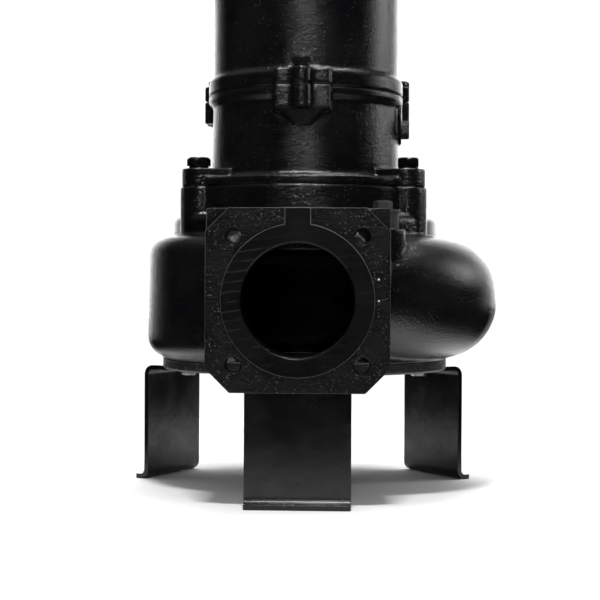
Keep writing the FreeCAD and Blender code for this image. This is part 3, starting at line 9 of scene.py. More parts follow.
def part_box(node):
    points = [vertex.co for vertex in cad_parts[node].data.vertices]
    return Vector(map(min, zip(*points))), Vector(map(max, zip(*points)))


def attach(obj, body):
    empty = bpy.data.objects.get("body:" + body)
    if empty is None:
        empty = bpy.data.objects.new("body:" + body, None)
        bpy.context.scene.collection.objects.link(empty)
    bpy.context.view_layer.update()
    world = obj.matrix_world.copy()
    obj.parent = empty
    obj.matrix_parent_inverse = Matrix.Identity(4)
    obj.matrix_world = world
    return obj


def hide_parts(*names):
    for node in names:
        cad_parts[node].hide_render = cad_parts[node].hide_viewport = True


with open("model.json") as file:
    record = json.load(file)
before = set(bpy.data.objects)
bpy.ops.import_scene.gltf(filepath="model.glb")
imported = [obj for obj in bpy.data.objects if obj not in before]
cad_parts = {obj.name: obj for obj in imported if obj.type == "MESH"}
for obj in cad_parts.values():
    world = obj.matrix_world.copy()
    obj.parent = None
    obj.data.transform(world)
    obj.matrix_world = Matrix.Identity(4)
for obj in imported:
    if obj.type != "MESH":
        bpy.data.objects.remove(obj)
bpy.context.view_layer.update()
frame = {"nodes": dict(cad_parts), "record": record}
scene = bpy.context.scene
nodes = frame["nodes"]
BODY = "pump_body"

# Places in metres that the CAD solids have as well.
FLANGE_Y = -0.190
FLANGE_Z = 0.1965
FLANGE_HOLE_REACH = 0.0601
CASING_LUG_CIRCLE = 0.123
CASING_LUG_DEGREES = (90.0, 210.0, 330.0)
JOINT_CIRCLE = 0.117
JOINT_DEGREES = (-90.0, 30.0, 150.0)
LEG_BOLT_REACH = 0.136
LEG_BOLT_SIDE = 0.01875
LEG_DEGREES = (-90.0, 33.3, 153.3)
HANDLE_BOLT_X = 0.056

# Bolts: width across flats, head height, shank diameter and shank length.
SMALL_FLATS, SMALL_HEAD, SMALL_SHANK = 0.017, 0.0064, 0.010
CASING_BOLT = (0.021, 0.0088, 0.014, 0.050)
JOINT_BOLT = (SMALL_FLATS, SMALL_HEAD, SMALL_SHANK, 0.036)
LEG_BOLT = (SMALL_FLATS, SMALL_HEAD, SMALL_SHANK, 0.022)
HANDLE_BOLT = (SMALL_FLATS, SMALL_HEAD, SMALL_SHANK, 0.020)

# A bolt head is a hexagon cut by a round blank. The blank's radius is given per corner radius,
# the heights of its straight part and its chamfer per head height, and the radii of its top and
# of the washer face under the head per width across flats.
HEX_BLANK, HEX_STRAIGHT, HEX_CHAMFER, HEX_TOP, HEX_LAND = 1.01, 0.74, 0.27, 0.465, 0.475
LAND_HEIGHT = 0.0006

# Spring washers: outer radius, inner radius and height.
CASING_WASHER = (0.01025, 0.0073, 0.0028)
JOINT_WASHER = (0.0085, 0.0053, 0.0022)

# The casing is shown in two copies: a crisp flange in front of the first plane, and a softened
# body behind the second. They overlap between the planes, so that no gap shows.
FLANGE_BACK_Y = -0.1765
CASING_FRONT_Y = -0.1792
WELD = 0.00001

# Threads in the flange holes: radius and height of the profile's points, the pitch, and how far
# behind the flange's face they start.
THREAD_PROFILE = ((0.00796, 0.0), (0.0071, 0.0009), (0.0071, 0.0011), (0.00796, 0.0020))
THREAD_PITCH = 0.0020
THREAD_START = 0.0032

# Colours of the paint, of the highlights painted on it, the floor and the backdrop, and the
# backdrop's strength.
BLACK = (0.0025, 0.0025, 0.003, 1)
CASTING_PATCH = (0.0055, 0.005, 0.0055, 1)
CASTING_EDGE_HIGHLIGHT = (0.045, 0.043, 0.045, 1)
FLANGE_PATCH = (0.0055, 0.0055, 0.006, 1)
FLANGE_MARK_SHEEN = (0.022, 0.022, 0.022, 1)
FLANGE_EDGE_HIGHLIGHT = (0.17, 0.168, 0.17, 1)
SHEET_EDGE_HIGHLIGHT = (0.05, 0.048, 0.05, 1)
COVER_BLACK = (0.010, 0.0095, 0.010, 1)
BARE_IRON = (0.34, 0.33, 0.33, 1)
# Light grey for the painted glint dots.
PAINTED_GLINT = (0.16, 0.16, 0.165, 1)
CHIP = (0.75, 0.75, 0.74, 1)
FLOOR_DARKER = (0.90, 0.90, 0.90, 1)
FLOOR_LIGHTER = (0.93, 0.93, 0.93, 1)
UNLIT = (0.004, 0.004, 0.004, 1)
WHITE = (1.0, 1.0, 1.0, 1.0)
BACKDROP_STRENGTH = 1.05

# Chips in the paint of the flange: x, z and radius.
CHIPS = ((0.0755, 0.2165, 0.0010), (0.0757, 0.1965, 0.0009), (0.0640, 0.1665, 0.0005),
         (0.0655, 0.1735, 0.0005), (0.0655, 0.1850, 0.0006))

# Socket types of the node groups.
FLOAT, VECTOR = "NodeSocketFloat", "NodeSocketVector"


# Mesh helpers

def activate(obj):
    """Makes obj the only selected and the active object."""
    bpy.ops.object.select_all(action="DESELECT")
    obj.select_set(True)
    bpy.context.view_layer.objects.active = obj


def edit(obj):
    """Opens obj for editing with everything selected."""
    activate(obj)
    bpy.ops.object.mode_set(mode="EDIT")
    bpy.ops.mesh.select_all(action="SELECT")


def done():
    bpy.ops.object.mode_set(mode="OBJECT")


def apply_modifiers(obj):
    activate(obj)
    for modifier in list(obj.modifiers):
        bpy.ops.object.modifier_apply(modifier=modifier.name)


def face_outwards(obj):
    edit(obj)
    bpy.ops.mesh.normals_make_consistent(inside=False)
    done()


def smooth_by_angle(obj, degrees):
    activate(obj)
    bpy.ops.object.shade_smooth_by_angle(angle=math.radians(degrees))


def soften(obj, width, degrees):
    """Rounds the edges of obj that are sharper than the angle."""
    bevel = obj.modifiers.new("soft edges", "BEVEL")
    bevel.width = width
    bevel.segments = 2
    bevel.limit_method = "ANGLE"
    bevel.angle_limit = math.radians(degrees)
    apply_modifiers(obj)


def copy_of(obj, name):
    """A copy with a mesh of its own."""
    copy = obj.copy()
    copy.data = obj.data.copy()
    copy.name = name
    scene.collection.objects.link(copy)
    return copy


def bake_place(obj, matrix):
    """Puts obj's place into its mesh, so that the object itself stays at the origin."""
    obj.data.transform(matrix)
    obj.data.update()
    obj.matrix_world = Matrix.Identity(4)


def primitive(name):
    """Names the object that the last operator added and bakes its place into its mesh."""
    obj = bpy.context.active_object
    obj.name = name
    bake_place(obj, obj.matrix_world.copy())
    return obj


def join(first, *others):
    """Joins the others into the first object."""
    activate(first)
    for other in others:
        other.select_set(True)
    bpy.ops.object.join()


def settle(obj, material, slot, *replaced):
    """Gives a finished piece its material and ties it to the frame."""
    obj.data.materials.clear()
    obj.data.materials.append(material)
    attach(obj, BODY)
    if replaced:
        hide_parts(*replaced)


# Node helpers

def feed(tree, socket, value):
    """Sets an input socket to a value, or links another node's socket to it."""
    if isinstance(value, bpy.types.NodeSocket):
        tree.links.new(value, socket)
    else:
        socket.default_value = value


def add(tree, kind, inputs=None, **settings):
    """A node with its settings and inputs; an input may be a value or another node's socket."""
    node = tree.nodes.new(kind)
    for key, value in settings.items():
        setattr(node, key, value)
    for key, value in (inputs or {}).items():
        feed(tree, node.inputs[key], value)
    return node


def connect(tree, node, **sockets):
    """Feeds a node's inputs; an underscore in a name stands for a space."""
    for key, value in sockets.items():
        feed(tree, node.inputs[key.replace("_", " ")], value)


def math_node(tree, operation, a, b=0.0, clamp=False):
    node = add(tree, "ShaderNodeMath", {0: a, 1: b}, operation=operation, use_clamp=clamp)
    return node.outputs[0]


def plus(tree, a, b):
    return math_node(tree, "ADD", a, b)


def minus(tree, a, b):
    return math_node(tree, "SUBTRACT", a, b)


def times(tree, a, b):
    return math_node(tree, "MULTIPLY", a, b)


def length(tree, vector):
    return add(tree, "ShaderNodeVectorMath", {0: vector}, operation="LENGTH").outputs["Value"]


def distance(tree, vector, point):
    node = add(tree, "ShaderNodeVectorMath", {0: vector, 1: point}, operation="DISTANCE")
    return node.outputs["Value"]


def parts_of(tree, vector):
    """The X, Y and Z sockets of a vector."""
    return add(tree, "ShaderNodeSeparateXYZ", {"Vector": vector}).outputs


def fade(tree, value, low, high, out_low=0.0, out_high=1.0):
    """The value mapped smoothly from low..high to out_low..out_high."""
    node = add(tree, "ShaderNodeMapRange",
               {"Value": value, "From Min": low, "From Max": high,
                "To Min": out_low, "To Max": out_high}, interpolation_type="SMOOTHSTEP")
    return node.outputs["Result"]


def blend_colours(tree, factor, a, b):
    node = add(tree, "ShaderNodeMix", {"Factor": factor, 6: a, 7: b}, data_type="RGBA")
    return node.outputs[2]


def noise(tree, vector, scale, detail=3.0, roughness=0.55):
    node = add(tree, "ShaderNodeTexNoise", {"Vector": vector, "Scale": scale, "Detail": detail,
                                            "Roughness": roughness})
    return node.outputs["Fac"]


def stretched(tree, vector, scale, turn=(0.0, 0.0, 0.0)):
    node = add(tree, "ShaderNodeMapping", {"Vector": vector, "Scale": scale, "Rotation": turn})
    return node.outputs["Vector"]


def group(name, inputs, outputs):
    """A node group with float inputs (name, default) and outputs (name, socket type)."""
    tree = bpy.data.node_groups.new(name, "ShaderNodeTree")
    for label, default in inputs:
        socket = tree.interface.new_socket(label, in_out="INPUT", socket_type=FLOAT)
        socket.default_value = default
    for label, kind in outputs:
        tree.interface.new_socket(label, in_out="OUTPUT", socket_type=kind)
    return tree, tree.nodes.new("NodeGroupInput"), tree.nodes.new("NodeGroupOutput")


def use(tree, shared, inputs=None):
    """A node that uses a shared group."""
    return add(tree, "ShaderNodeGroup", inputs, node_tree=shared)


def object_place(tree):
    return add(tree, "ShaderNodeTexCoord").outputs["Object"]


def principled(name):
    """A new material with its node tree and its shader."""
    material = bpy.data.materials.new(name)
    material.use_nodes = True
    tree = material.node_tree
    return material, tree, tree.nodes["Principled BSDF"]


# Shared effects

def cast_grain_group():
    """Sand-cast grain under paint: height in 0..1, slow patches, and sparse dots where a painted
    glint goes.
    """
    tree, given, out = group("cast grain", [("Grain Scale", 420.0)],
                             [("Height", FLOAT), ("Patches", FLOAT), ("Glints", FLOAT)])
    place = object_place(tree)
    scale = given.outputs["Grain Scale"]
    coarse = noise(tree, place, scale, 3.0, 0.6)
    fine = noise(tree, place, times(tree, scale, 3.1), 2.0)
    pits = add(tree, "ShaderNodeTexVoronoi", {"Vector": place, "Scale": times(tree, scale, 0.9)})
    pit_depth = fade(tree, pits.outputs["Distance"], 0.0, 0.35)
    grain = plus(tree, times(tree, coarse, 0.68), times(tree, fine, 0.14))
    # Dots for the painted glint: small light dots in sparse patches.
    spots = add(tree, "ShaderNodeTexVoronoi", {"Vector": place, "Scale": times(tree, scale, 0.8)})
    painted_glint_mask = fade(tree, spots.outputs["Distance"], 0.26, 0.10)
    sparse = fade(tree, noise(tree, place, 75.0), 0.44, 0.62)
    connect(tree, out, Height=plus(tree, grain, times(tree, pit_depth, 0.18)),
            Patches=noise(tree, place, 22.0, 4.0, 0.6), Glints=times(tree, painted_glint_mask, sparse))
    return tree


def surface_group():
    """Rounded edges and a bump in one normal. Edge Width and Depth are in metres."""
    tree, given, out = group("edges and bump",
                             [("Height", 0.5), ("Depth", 0.0004), ("Edge Width", 0.0012)],
                             [("Normal", VECTOR), ("Edge", FLOAT)])
    bevel = add(tree, "ShaderNodeBevel", {"Radius": given.outputs["Edge Width"]}, samples=6)
    rounded = bevel.outputs["Normal"]
    flat = add(tree, "ShaderNodeNewGeometry").outputs["Normal"]
    bump = add(tree, "ShaderNodeBump",
               {"Height": given.outputs["Height"], "Distance": given.outputs["Depth"],
                "Strength": 1.0, "Normal": rounded})
    along = add(tree, "ShaderNodeVectorMath", {0: rounded, 1: flat}, operation="DOT_PRODUCT")
    connect(tree, out, Normal=bump.outputs["Normal"],
            Edge=fade(tree, along.outputs["Value"], 0.995, 0.86))
    return tree


def scratches_group():
    """Fine crossing scratches in scuffed patches, for scraped metal."""
    tree, given, out = group("scratches", [("Amount", 1.0)], [("Mask", FLOAT), ("Height", FLOAT)])
    place = object_place(tree)
    fields = []
    for turn, stretch in (((0.2, 0.0, 0.5), (40.0, 40.0, 900.0)),
                          ((0.9, 0.3, 1.4), (900.0, 60.0, 120.0)),
                          ((0.4, 1.1, 2.3), (70.0, 700.0, 260.0))):
        field = noise(tree, stretched(tree, place, stretch, turn), 1.0, 4.0, 0.7)
        fields.append(fade(tree, field, 0.58, 0.72))
    first_two = math_node(tree, "MAXIMUM", fields[0], fields[1])
    lines = math_node(tree, "MAXIMUM", first_two, fields[2])
    scuffs = fade(tree, noise(tree, place, 60.0, 6.0, 0.75), 0.38, 0.58)
    mask = math_node(tree, "MULTIPLY", times(tree, lines, scuffs), given.outputs["Amount"], True)
    connect(tree, out, Mask=mask, Height=minus(tree, 1.0, times(tree, lines, 0.8)))
    return tree


def milling_group():
    """Faint tool marks a few millimetres apart, nearly level, climbing to the right."""
    tree, _, out = group("milling marks", [], [("Height", FLOAT), ("Mask", FLOAT)])
    tilt = (0.0, math.radians(8.0), 0.0)
    place = stretched(tree, object_place(tree), (1.0, 1.0, 1.0), tilt)
    wave = add(tree, "ShaderNodeTexWave",
               {"Vector": place, "Scale": 35.0, "Distortion": 0.7, "Detail": 1.0,
                "Detail Scale": 3.0}, wave_type="BANDS", bands_direction="Z")
    ridge = fade(tree, wave.outputs["Fac"], 0.80, 1.0)
    gaps = noise(tree, stretched(tree, place, (60.0, 1.0, 160.0)), 1.0)
    mask = times(tree, ridge, fade(tree, gaps, 0.40, 0.62))
    fine = noise(tree, stretched(tree, place, (60.0, 1.0, 1500.0)), 1.0)
    connect(tree, out, Height=plus(tree, times(tree, mask, 0.7), times(tree, fine, 0.3)),
            Mask=mask)
    return tree


def drawn_metal_group():
    """Turned or drawn metal: fine lines round the shaft axis and slow stains."""
    tree, _, out = group("drawn metal", [], [("Lines", FLOAT), ("Stains", FLOAT)])
    place = object_place(tree)
    connect(tree, out, Lines=noise(tree, stretched(tree, place, (90.0, 90.0, 2600.0)), 1.0),
            Stains=noise(tree, place, 160.0, 4.0, 0.65))
    return tree


GRAIN = cast_grain_group()
SURFACE = surface_group()
SCRATCHES = scratches_group()
MILLING = milling_group()
DRAWN_METAL = drawn_metal_group()


# Materials

def casting_paint(name, edge_width=0.0012, depth=0.0008, grain_scale=400.0, painted_glints=0.2,
                  shine=0.55):
    """Gloss black paint over a grainy casting, with painted highlights: lighter on edges and light
    grey at sparse painted glint dots.
    """
    material, tree, shader = principled(name)
    grain = use(tree, GRAIN, {"Grain Scale": grain_scale})
    surface = use(tree, SURFACE, {"Height": grain.outputs["Height"], "Depth": depth,
                                  "Edge Width": edge_width})
    patches = grain.outputs["Patches"]
    colour = blend_colours(tree, fade(tree, patches, 0.35, 0.7), BLACK, CASTING_PATCH)
    # Painted highlight: edges are coloured lighter where the light would catch them.
    edges = times(tree, surface.outputs["Edge"], 0.25)
    colour = blend_colours(tree, edges, colour, CASTING_EDGE_HIGHLIGHT)
    # Painted highlight: sparse dots coloured light grey where the light would glint.
    painted_glint_mask = times(tree, grain.outputs["Glints"], painted_glints)
    colour = blend_colours(tree, painted_glint_mask, colour, PAINTED_GLINT)
    connect(tree, shader, Base_Color=colour, Specular_IOR_Level=shine,
            Roughness=fade(tree, patches, 0.3, 0.75, 0.14, 0.23),
            Normal=surface.outputs["Normal"])
    return material


def flange_paint():
    """The flange: grainy paint, and a thin smooth coat over milling marks on the raised face."""
    material, tree, shader = principled("flange_paint")
    place = object_place(tree)
    parts = parts_of(tree, place)
    raised = fade(tree, parts["Y"], FLANGE_Y + 0.0014, FLANGE_Y + 0.0006)
    grain = use(tree, GRAIN, {"Grain Scale": 460.0})
    marks = use(tree, MILLING)
    cast = times(tree, grain.outputs["Height"], minus(tree, 1.0, raised))
    milled = times(tree, times(tree, marks.outputs["Height"], 0.04), raised)
    surface = use(tree, SURFACE, {"Height": plus(tree, cast, milled), "Depth": 0.0010,
                                  "Edge Width": 0.0008})

    patches = fade(tree, grain.outputs["Patches"], 0.35, 0.7)
    colour = blend_colours(tree, patches, BLACK, FLANGE_PATCH)

    # The milling marks are in the bump; their lighter colour is a painted sheen that shows most on
    # the left of the raised face, where the light catches them.
    left = fade(tree, parts["X"], -0.02, -0.045, 0.12, 0.5)
    painted_mark_sheen = times(tree, marks.outputs["Mask"], times(tree, raised, left))
    colour = blend_colours(tree, painted_mark_sheen, colour, FLANGE_MARK_SHEEN)

    # Painted highlight: glint dots coloured light grey, fewer on the raised face.
    painted_glint_share = minus(tree, 0.55, times(tree, raised, 0.5))
    painted_glint_mask = times(tree, grain.outputs["Glints"], painted_glint_share)
    colour = blend_colours(tree, painted_glint_mask, colour, PAINTED_GLINT)

    # Painted edge highlight: edges are light, apart from those of the holes and the bore, and
    # lightest high up, where the light from above falls.
    side = math_node(tree, "ABSOLUTE", parts["X"])
    level = math_node(tree, "ABSOLUTE", minus(tree, parts["Z"], FLANGE_Z))
    corner = add(tree, "ShaderNodeCombineXYZ", {"X": side, "Y": level}).outputs["Vector"]
    from_hole = distance(tree, corner, (FLANGE_HOLE_REACH, FLANGE_HOLE_REACH, 0.0))
    from_bore = length(tree, corner)
    outer = times(tree, fade(tree, from_hole, 0.0095, 0.0115),
                  fade(tree, from_bore, 0.058, 0.063))
    upper = fade(tree, parts["Z"], FLANGE_Z - 0.02, FLANGE_Z + 0.07, 0.35, 0.9)
    painted_edge_highlight = times(tree, surface.outputs["Edge"], times(tree, outer, upper))
    colour = blend_colours(tree, painted_edge_highlight, colour, FLANGE_EDGE_HIGHLIGHT)

    chips = 0.0
    for x, z, size in CHIPS:
        from_chip = distance(tree, place, (x, FLANGE_Y + 0.002, z))
        chips = plus(tree, fade(tree, from_chip, size, size * 0.6), chips)
    colour = blend_colours(tree, math_node(tree, "MINIMUM", chips, 1.0), colour, CHIP)
    connect(tree, shader, Base_Color=colour, Specular_IOR_Level=0.32,
            Roughness=fade(tree, raised, 0.0, 1.0, 0.20, 0.24), Normal=surface.outputs["Normal"])
    return material


def sheet_paint():
    """Smooth gloss black paint on bent sheet, with a slow ripple."""
    material, tree, shader = principled("sheet_paint")
    place = object_place(tree)
    ripple = plus(tree, times(tree, noise(tree, place, 45.0, 2.0), 0.85),
                  times(tree, noise(tree, place, 700.0, 2.0), 0.15))
    surface = use(tree, SURFACE, {"Height": ripple, "Depth": 0.0003, "Edge Width": 0.0012})
    # Painted highlight: edges are coloured lighter where the light would catch them.
    edges = times(tree, surface.outputs["Edge"], 0.4)
    connect(tree, shader, Base_Color=blend_colours(tree, edges, BLACK, SHEET_EDGE_HIGHLIGHT),
            Roughness=fade(tree, noise(tree, place, 30.0), 0.3, 0.7, 0.20, 0.30),
            Normal=surface.outputs["Normal"], Specular_IOR_Level=0.45)
    return material


def cover_paint():
    """The bottom cover: black paint that is scraped, with bare iron in the scratches and edges."""
    material, tree, shader = principled("cover_paint")
    grain = use(tree, GRAIN, {"Grain Scale": 300.0})
    marks = use(tree, SCRATCHES, {"Amount": 0.9})
    height = plus(tree, times(tree, grain.outputs["Height"], 0.55),
                  times(tree, marks.outputs["Height"], 0.45))
    surface = use(tree, SURFACE, {"Height": height, "Depth": 0.0005, "Edge Width": 0.0009})
    edges = times(tree, surface.outputs["Edge"], 0.7)
    bare = math_node(tree, "MAXIMUM", marks.outputs["Mask"], edges)
    connect(tree, shader, Base_Color=blend_colours(tree, bare, COVER_BLACK, BARE_IRON),
            Roughness=fade(tree, bare, 0.0, 1.0, 0.42, 0.5), Metallic=times(tree, bare, 0.6),
            Normal=surface.outputs["Normal"])
    return material


def bare_metal(name, colour, dark, roughness, metallic=1.0):
    """Machined or plated metal with drawn lines and stains."""
    material, tree, shader = principled(name)
    lines = use(tree, DRAWN_METAL)
    surface = use(tree, SURFACE, {"Height": lines.outputs["Lines"], "Depth": 0.00003,
                                  "Edge Width": 0.0004})
    stains = lines.outputs["Stains"]
    tint = blend_colours(tree, fade(tree, stains, 0.35, 0.7), colour, dark)
    connect(tree, shader, Base_Color=tint, Metallic=metallic,
            Roughness=fade(tree, stains, 0.3, 0.7, roughness, roughness + 0.14),
            Normal=surface.outputs["Normal"])
    return material


def moulded(name, colour, light, roughness):
    """Rubber, plastic, ceramic and carbon: a fine even surface with a little dust."""
    material, tree, shader = principled(name)
    grain = use(tree, GRAIN, {"Grain Scale": 1500.0})
    surface = use(tree, SURFACE, {"Height": grain.outputs["Height"], "Depth": 0.00006,
                                  "Edge Width": 0.0004})
    tint = blend_colours(tree, fade(tree, grain.outputs["Patches"], 0.4, 0.75), colour, light)
    connect(tree, shader, Base_Color=tint, Roughness=roughness, Normal=surface.outputs["Normal"])
    return material


def laminated(name, colour, dark, pitch, roughness, metallic):
    """Stacked sheets or wound wire: level lines at an even pitch along the shaft."""
    material, tree, shader = principled(name)
    phase = times(tree, parts_of(tree, object_place(tree))["Z"], 2 * math.pi / pitch)
    sheet = math_node(tree, "ABSOLUTE", math_node(tree, "SINE", phase))
    surface = use(tree, SURFACE, {"Height": sheet, "Depth": 0.0002, "Edge Width": 0.0005})
    tint = blend_colours(tree, fade(tree, sheet, 0.0, 0.5), dark, colour)
    connect(tree, shader, Base_Color=tint, Roughness=roughness, Metallic=metallic,
            Normal=surface.outputs["Normal"])
    return material


# Slot: colour, colour of the stains, roughness.
METALS = {
    "plain_bolts": ((0.52, 0.52, 0.53, 1), (0.34, 0.34, 0.35, 1), 0.30),
    "wear_metal": ((0.40, 0.39, 0.37, 1), (0.28, 0.27, 0.26, 1), 0.34),
    "gland_metal": ((0.58, 0.55, 0.49, 1), (0.44, 0.41, 0.35, 1), 0.26),
    "steel": ((0.56, 0.56, 0.56, 1), (0.42, 0.42, 0.42, 1), 0.28),
    "bearing_steel": ((0.66, 0.66, 0.66, 1), (0.55, 0.55, 0.55, 1), 0.14),
    "aluminium": ((0.62, 0.62, 0.63, 1), (0.5, 0.5, 0.51, 1), 0.36),
}
# Slot: colour, colour of the dust, roughness.
MOULDINGS = {
    "rubber": ((0.012, 0.012, 0.012, 1), (0.022, 0.021, 0.02, 1), 0.72),
    "ceramic": ((0.75, 0.73, 0.68, 1), (0.70, 0.67, 0.62, 1), 0.30),
    "carbon": ((0.03, 0.03, 0.031, 1), (0.045, 0.045, 0.046, 1), 0.42),
    "dark_plastic": ((0.022, 0.022, 0.023, 1), (0.032, 0.031, 0.03, 1), 0.48),
}
# Slot: colour, colour between the sheets, pitch, roughness, metallic.
STACKS = {
    "laminations": ((0.26, 0.26, 0.28, 1), (0.08, 0.08, 0.09, 1), 0.002, 0.42, 0.9),
    "winding_copper": ((0.42, 0.15, 0.05, 1), (0.12, 0.04, 0.015, 1), 0.0028, 0.38, 0.6),
}

PAINT = casting_paint("casting_paint")
COVER = cover_paint()
FLANGE = flange_paint()
MATERIALS = {
    "casting_paint": PAINT,
    "sheet_paint": sheet_paint(),
    "painted_bolts": casting_paint("painted_bolts", edge_width=0.0006, depth=0.0002,
                                   grain_scale=700.0),
    "vent_metal": bare_metal("vent_metal", (0.040, 0.040, 0.042, 1), (0.026, 0.026, 0.028, 1),
                             0.45, metallic=0.2),
    "cast_iron": casting_paint("bare_casting", depth=0.0006, grain_scale=520.0),
    "impeller_iron": casting_paint("impeller_iron", depth=0.0004, grain_scale=380.0, painted_glints=0.0,
                                   shine=0.1),
}
for make, looks in ((bare_metal, METALS), (moulded, MOULDINGS), (laminated, STACKS)):
    for slot_name, look in looks.items():
        MATERIALS[slot_name] = make(slot_name, *look)

for part in frame["record"]["subparts"]:
    own = COVER if part["node"] == "suction_cover" else MATERIALS[part["material_slot"]]
    mesh = nodes[part["node"]].data
    mesh.materials.clear()
    mesh.materials.append(own)


# Castings

def opened_copy(node, name):
    """A welded copy of a CAD solid at the origin, open for editing."""
    piece = copy_of(nodes[node], name)
    piece.parent = None
    piece.matrix_world = Matrix.Identity(4)
    edit(piece)
    bpy.ops.mesh.remove_doubles(threshold=WELD)
    return piece


def cast_copy(node, name, voxel, passes, most_triangles, front=None):
    """A CAD casting with corners softened as sand casting leaves them, cut off before front."""
    piece = opened_copy(node, name)
    if front is not None:
        bpy.ops.mesh.bisect(plane_co=(0.0, front, 0.0), plane_no=(0.0, 1.0, 0.0), use_fill=True,
                            clear_inner=True)
    done()
    skin = piece.modifiers.new("skin", "REMESH")
    skin.mode = "VOXEL"
    skin.voxel_size = voxel
    soft = piece.modifiers.new("soft", "SMOOTH")
    soft.factor = 0.5
    soft.iterations = passes
    apply_modifiers(piece)
    triangles = 2 * len(piece.data.polygons)
    if triangles > most_triangles:
        fewer = piece.modifiers.new("fewer", "DECIMATE")
        fewer.ratio = most_triangles / triangles
        apply_modifiers(piece)
    face_outwards(piece)
    activate(piece)
    bpy.ops.object.shade_smooth()
    return piece


def flange_plate():
    """The front of the flange, cut from a copy of the casing so that its edges stay crisp."""
    piece = opened_copy("volute_casing", "flange_plate")
    bpy.ops.mesh.bisect(plane_co=(0.0, FLANGE_BACK_Y, 0.0), plane_no=(0.0, 1.0, 0.0),
                        use_fill=True, clear_outer=True)
    bpy.ops.mesh.select_all(action="SELECT")
    bpy.ops.mesh.dissolve_limited(angle_limit=math.radians(0.5))
    done()
    bpy.ops.mesh.customdata_custom_splitnormals_clear()
    face_outwards(piece)
    smooth_by_angle(piece, 28.0)
    return piece


flange_front = flange_plate()
casing_body = cast_copy("volute_casing", "volute_body", voxel=0.0017, passes=4,
                        most_triangles=195000, front=CASING_FRONT_Y)
settle(casing_body, PAINT, "casting_paint", "volute_casing")
settle(flange_front, FLANGE, "casting_paint", "volute_casing")
for node_name, piece_name, voxel_size in (("oil_chamber_housing", "oil_chamber_body", 0.0015),
                                          ("motor_housing", "motor_barrel", 0.0020),
                                          ("top_cover", "motor_cap", 0.0017)):
    casting = cast_copy(node_name, piece_name, voxel_size, passes=3, most_triangles=190000)
    settle(casting, PAINT, "casting_paint", node_name)


# Bolts and washers

def cylinder(name, sides, radius, low, high):
    """A cylinder on the Z axis from low to high."""
    bpy.ops.mesh.primitive_cylinder_add(vertices=sides, radius=radius, depth=high - low,
                                        location=(0, 0, (low + high) / 2))
    return primitive(name)


def chamfered_hexagon(name, flats, height):
    """A hexagon head on z = 0 whose top corners are turned off at a shallow angle."""
    corner = flats / math.sqrt(3)
    blank_radius = corner * HEX_BLANK
    head = cylinder(name, 6, corner, 0, height)
    blank = cylinder(name + "_blank", 72, blank_radius, 0, height * HEX_STRAIGHT)
    edit(blank)
    bpy.ops.mesh.select_all(action="DESELECT")
    done()
    for face in blank.data.polygons:
        face.select = face.normal.z > 0.9
    activate(blank)
    bpy.ops.object.mode_set(mode="EDIT")
    bpy.ops.mesh.select_mode(type="FACE")
    bpy.ops.mesh.extrude_region_move(TRANSFORM_OT_translate={"value": (0, 0, height * HEX_CHAMFER)})
    shrink = flats * HEX_TOP / blank_radius
    bpy.ops.transform.resize(value=(shrink, shrink, 1.0))
    done()
    common = head.modifiers.new("turned", "BOOLEAN")
    common.operation = "INTERSECT"
    common.object = blank
    apply_modifiers(head)
    bpy.data.objects.remove(blank)
    return head


def bolt_master(name, flats, head_height, shank_diameter, shank_length):
    """A hexagon bolt on z = 0: a head with a washer face over a plain shank."""
    head = chamfered_hexagon(name, flats, head_height)
    land = cylinder(name + "_land", 64, flats * HEX_LAND, 0, LAND_HEIGHT)
    shank = cylinder(name + "_shank", 48, shank_diameter / 2, -shank_length, 0)
    join(head, land, shank)
    soften(head, 0.0003, 25.0)
    face_outwards(head)
    smooth_by_angle(head, 30.0)
    return head


def washer_master(name, outer, inner, height):
    """A split spring washer: a square bar wound through most of a turn with a slight rise."""
    bpy.ops.mesh.primitive_plane_add(size=1.0, rotation=(math.pi / 2, 0, 0))
    bar = primitive(name)
    rise = height * 0.18
    bar.data.transform(Matrix.Translation(((outer + inner) / 2, 0, (height - rise) / 2))
                       @ Matrix.Diagonal((outer - inner, 1.0, height - rise, 1.0)))
    wound = bar.modifiers.new("wound", "SCREW")
    wound.axis = "Z"
    wound.angle = math.radians(350.0)
    wound.screw_offset = rise
    wound.steps = wound.render_steps = 56
    apply_modifiers(bar)
    edit(bar)
    bpy.ops.mesh.remove_doubles(threshold=0.000001)
    bpy.ops.mesh.select_all(action="DESELECT")
    bpy.ops.mesh.select_mode(type="EDGE")
    bpy.ops.mesh.select_non_manifold()
    bpy.ops.mesh.fill_holes(sides=4)
    done()
    face_outwards(bar)
    soften(bar, 0.00025, 40.0)
    smooth_by_angle(bar, 35.0)
    return bar


def place_copies(master, name, matrices, slot, node):
    """Puts a copy of the master at each place, in place of the CAD node, and removes it."""
    for number, matrix in enumerate(matrices, 1):
        piece = copy_of(master, f"{name}_{number}")
        bake_place(piece, matrix)
        settle(piece, MATERIALS[slot], slot, node)
    bpy.data.objects.remove(master)


def turned_by(degrees):
    return Matrix.Rotation(math.radians(degrees), 4, "Z")


def round_the_shaft(radius, degrees, z, twists):
    """Places on a circle about the shaft; twists turn each piece about its own axis."""
    return [turned_by(angle) @ Matrix.Translation((radius, 0, z)) @ turned_by(twist)
            for angle, twist in zip(degrees, twists)]


def screwed_joint(label, circle, degrees, washer, bolt, washer_twists, bolt_twists):
    """The spring washers of a joint, and the bolts whose heads sit on them."""
    washer_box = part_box(label + "_spring_washers")
    place_copies(washer_master(label + "_washer_master", *washer), label + "_spring_washer",
                 round_the_shaft(circle, degrees, washer_box[0][2], washer_twists),
                 "painted_bolts", label + "_spring_washers")
    place_copies(bolt_master(label + "_bolt_master", *bolt), label + "_bolt",
                 round_the_shaft(circle, degrees, washer_box[1][2], bolt_twists),
                 "painted_bolts", label + "_bolts")


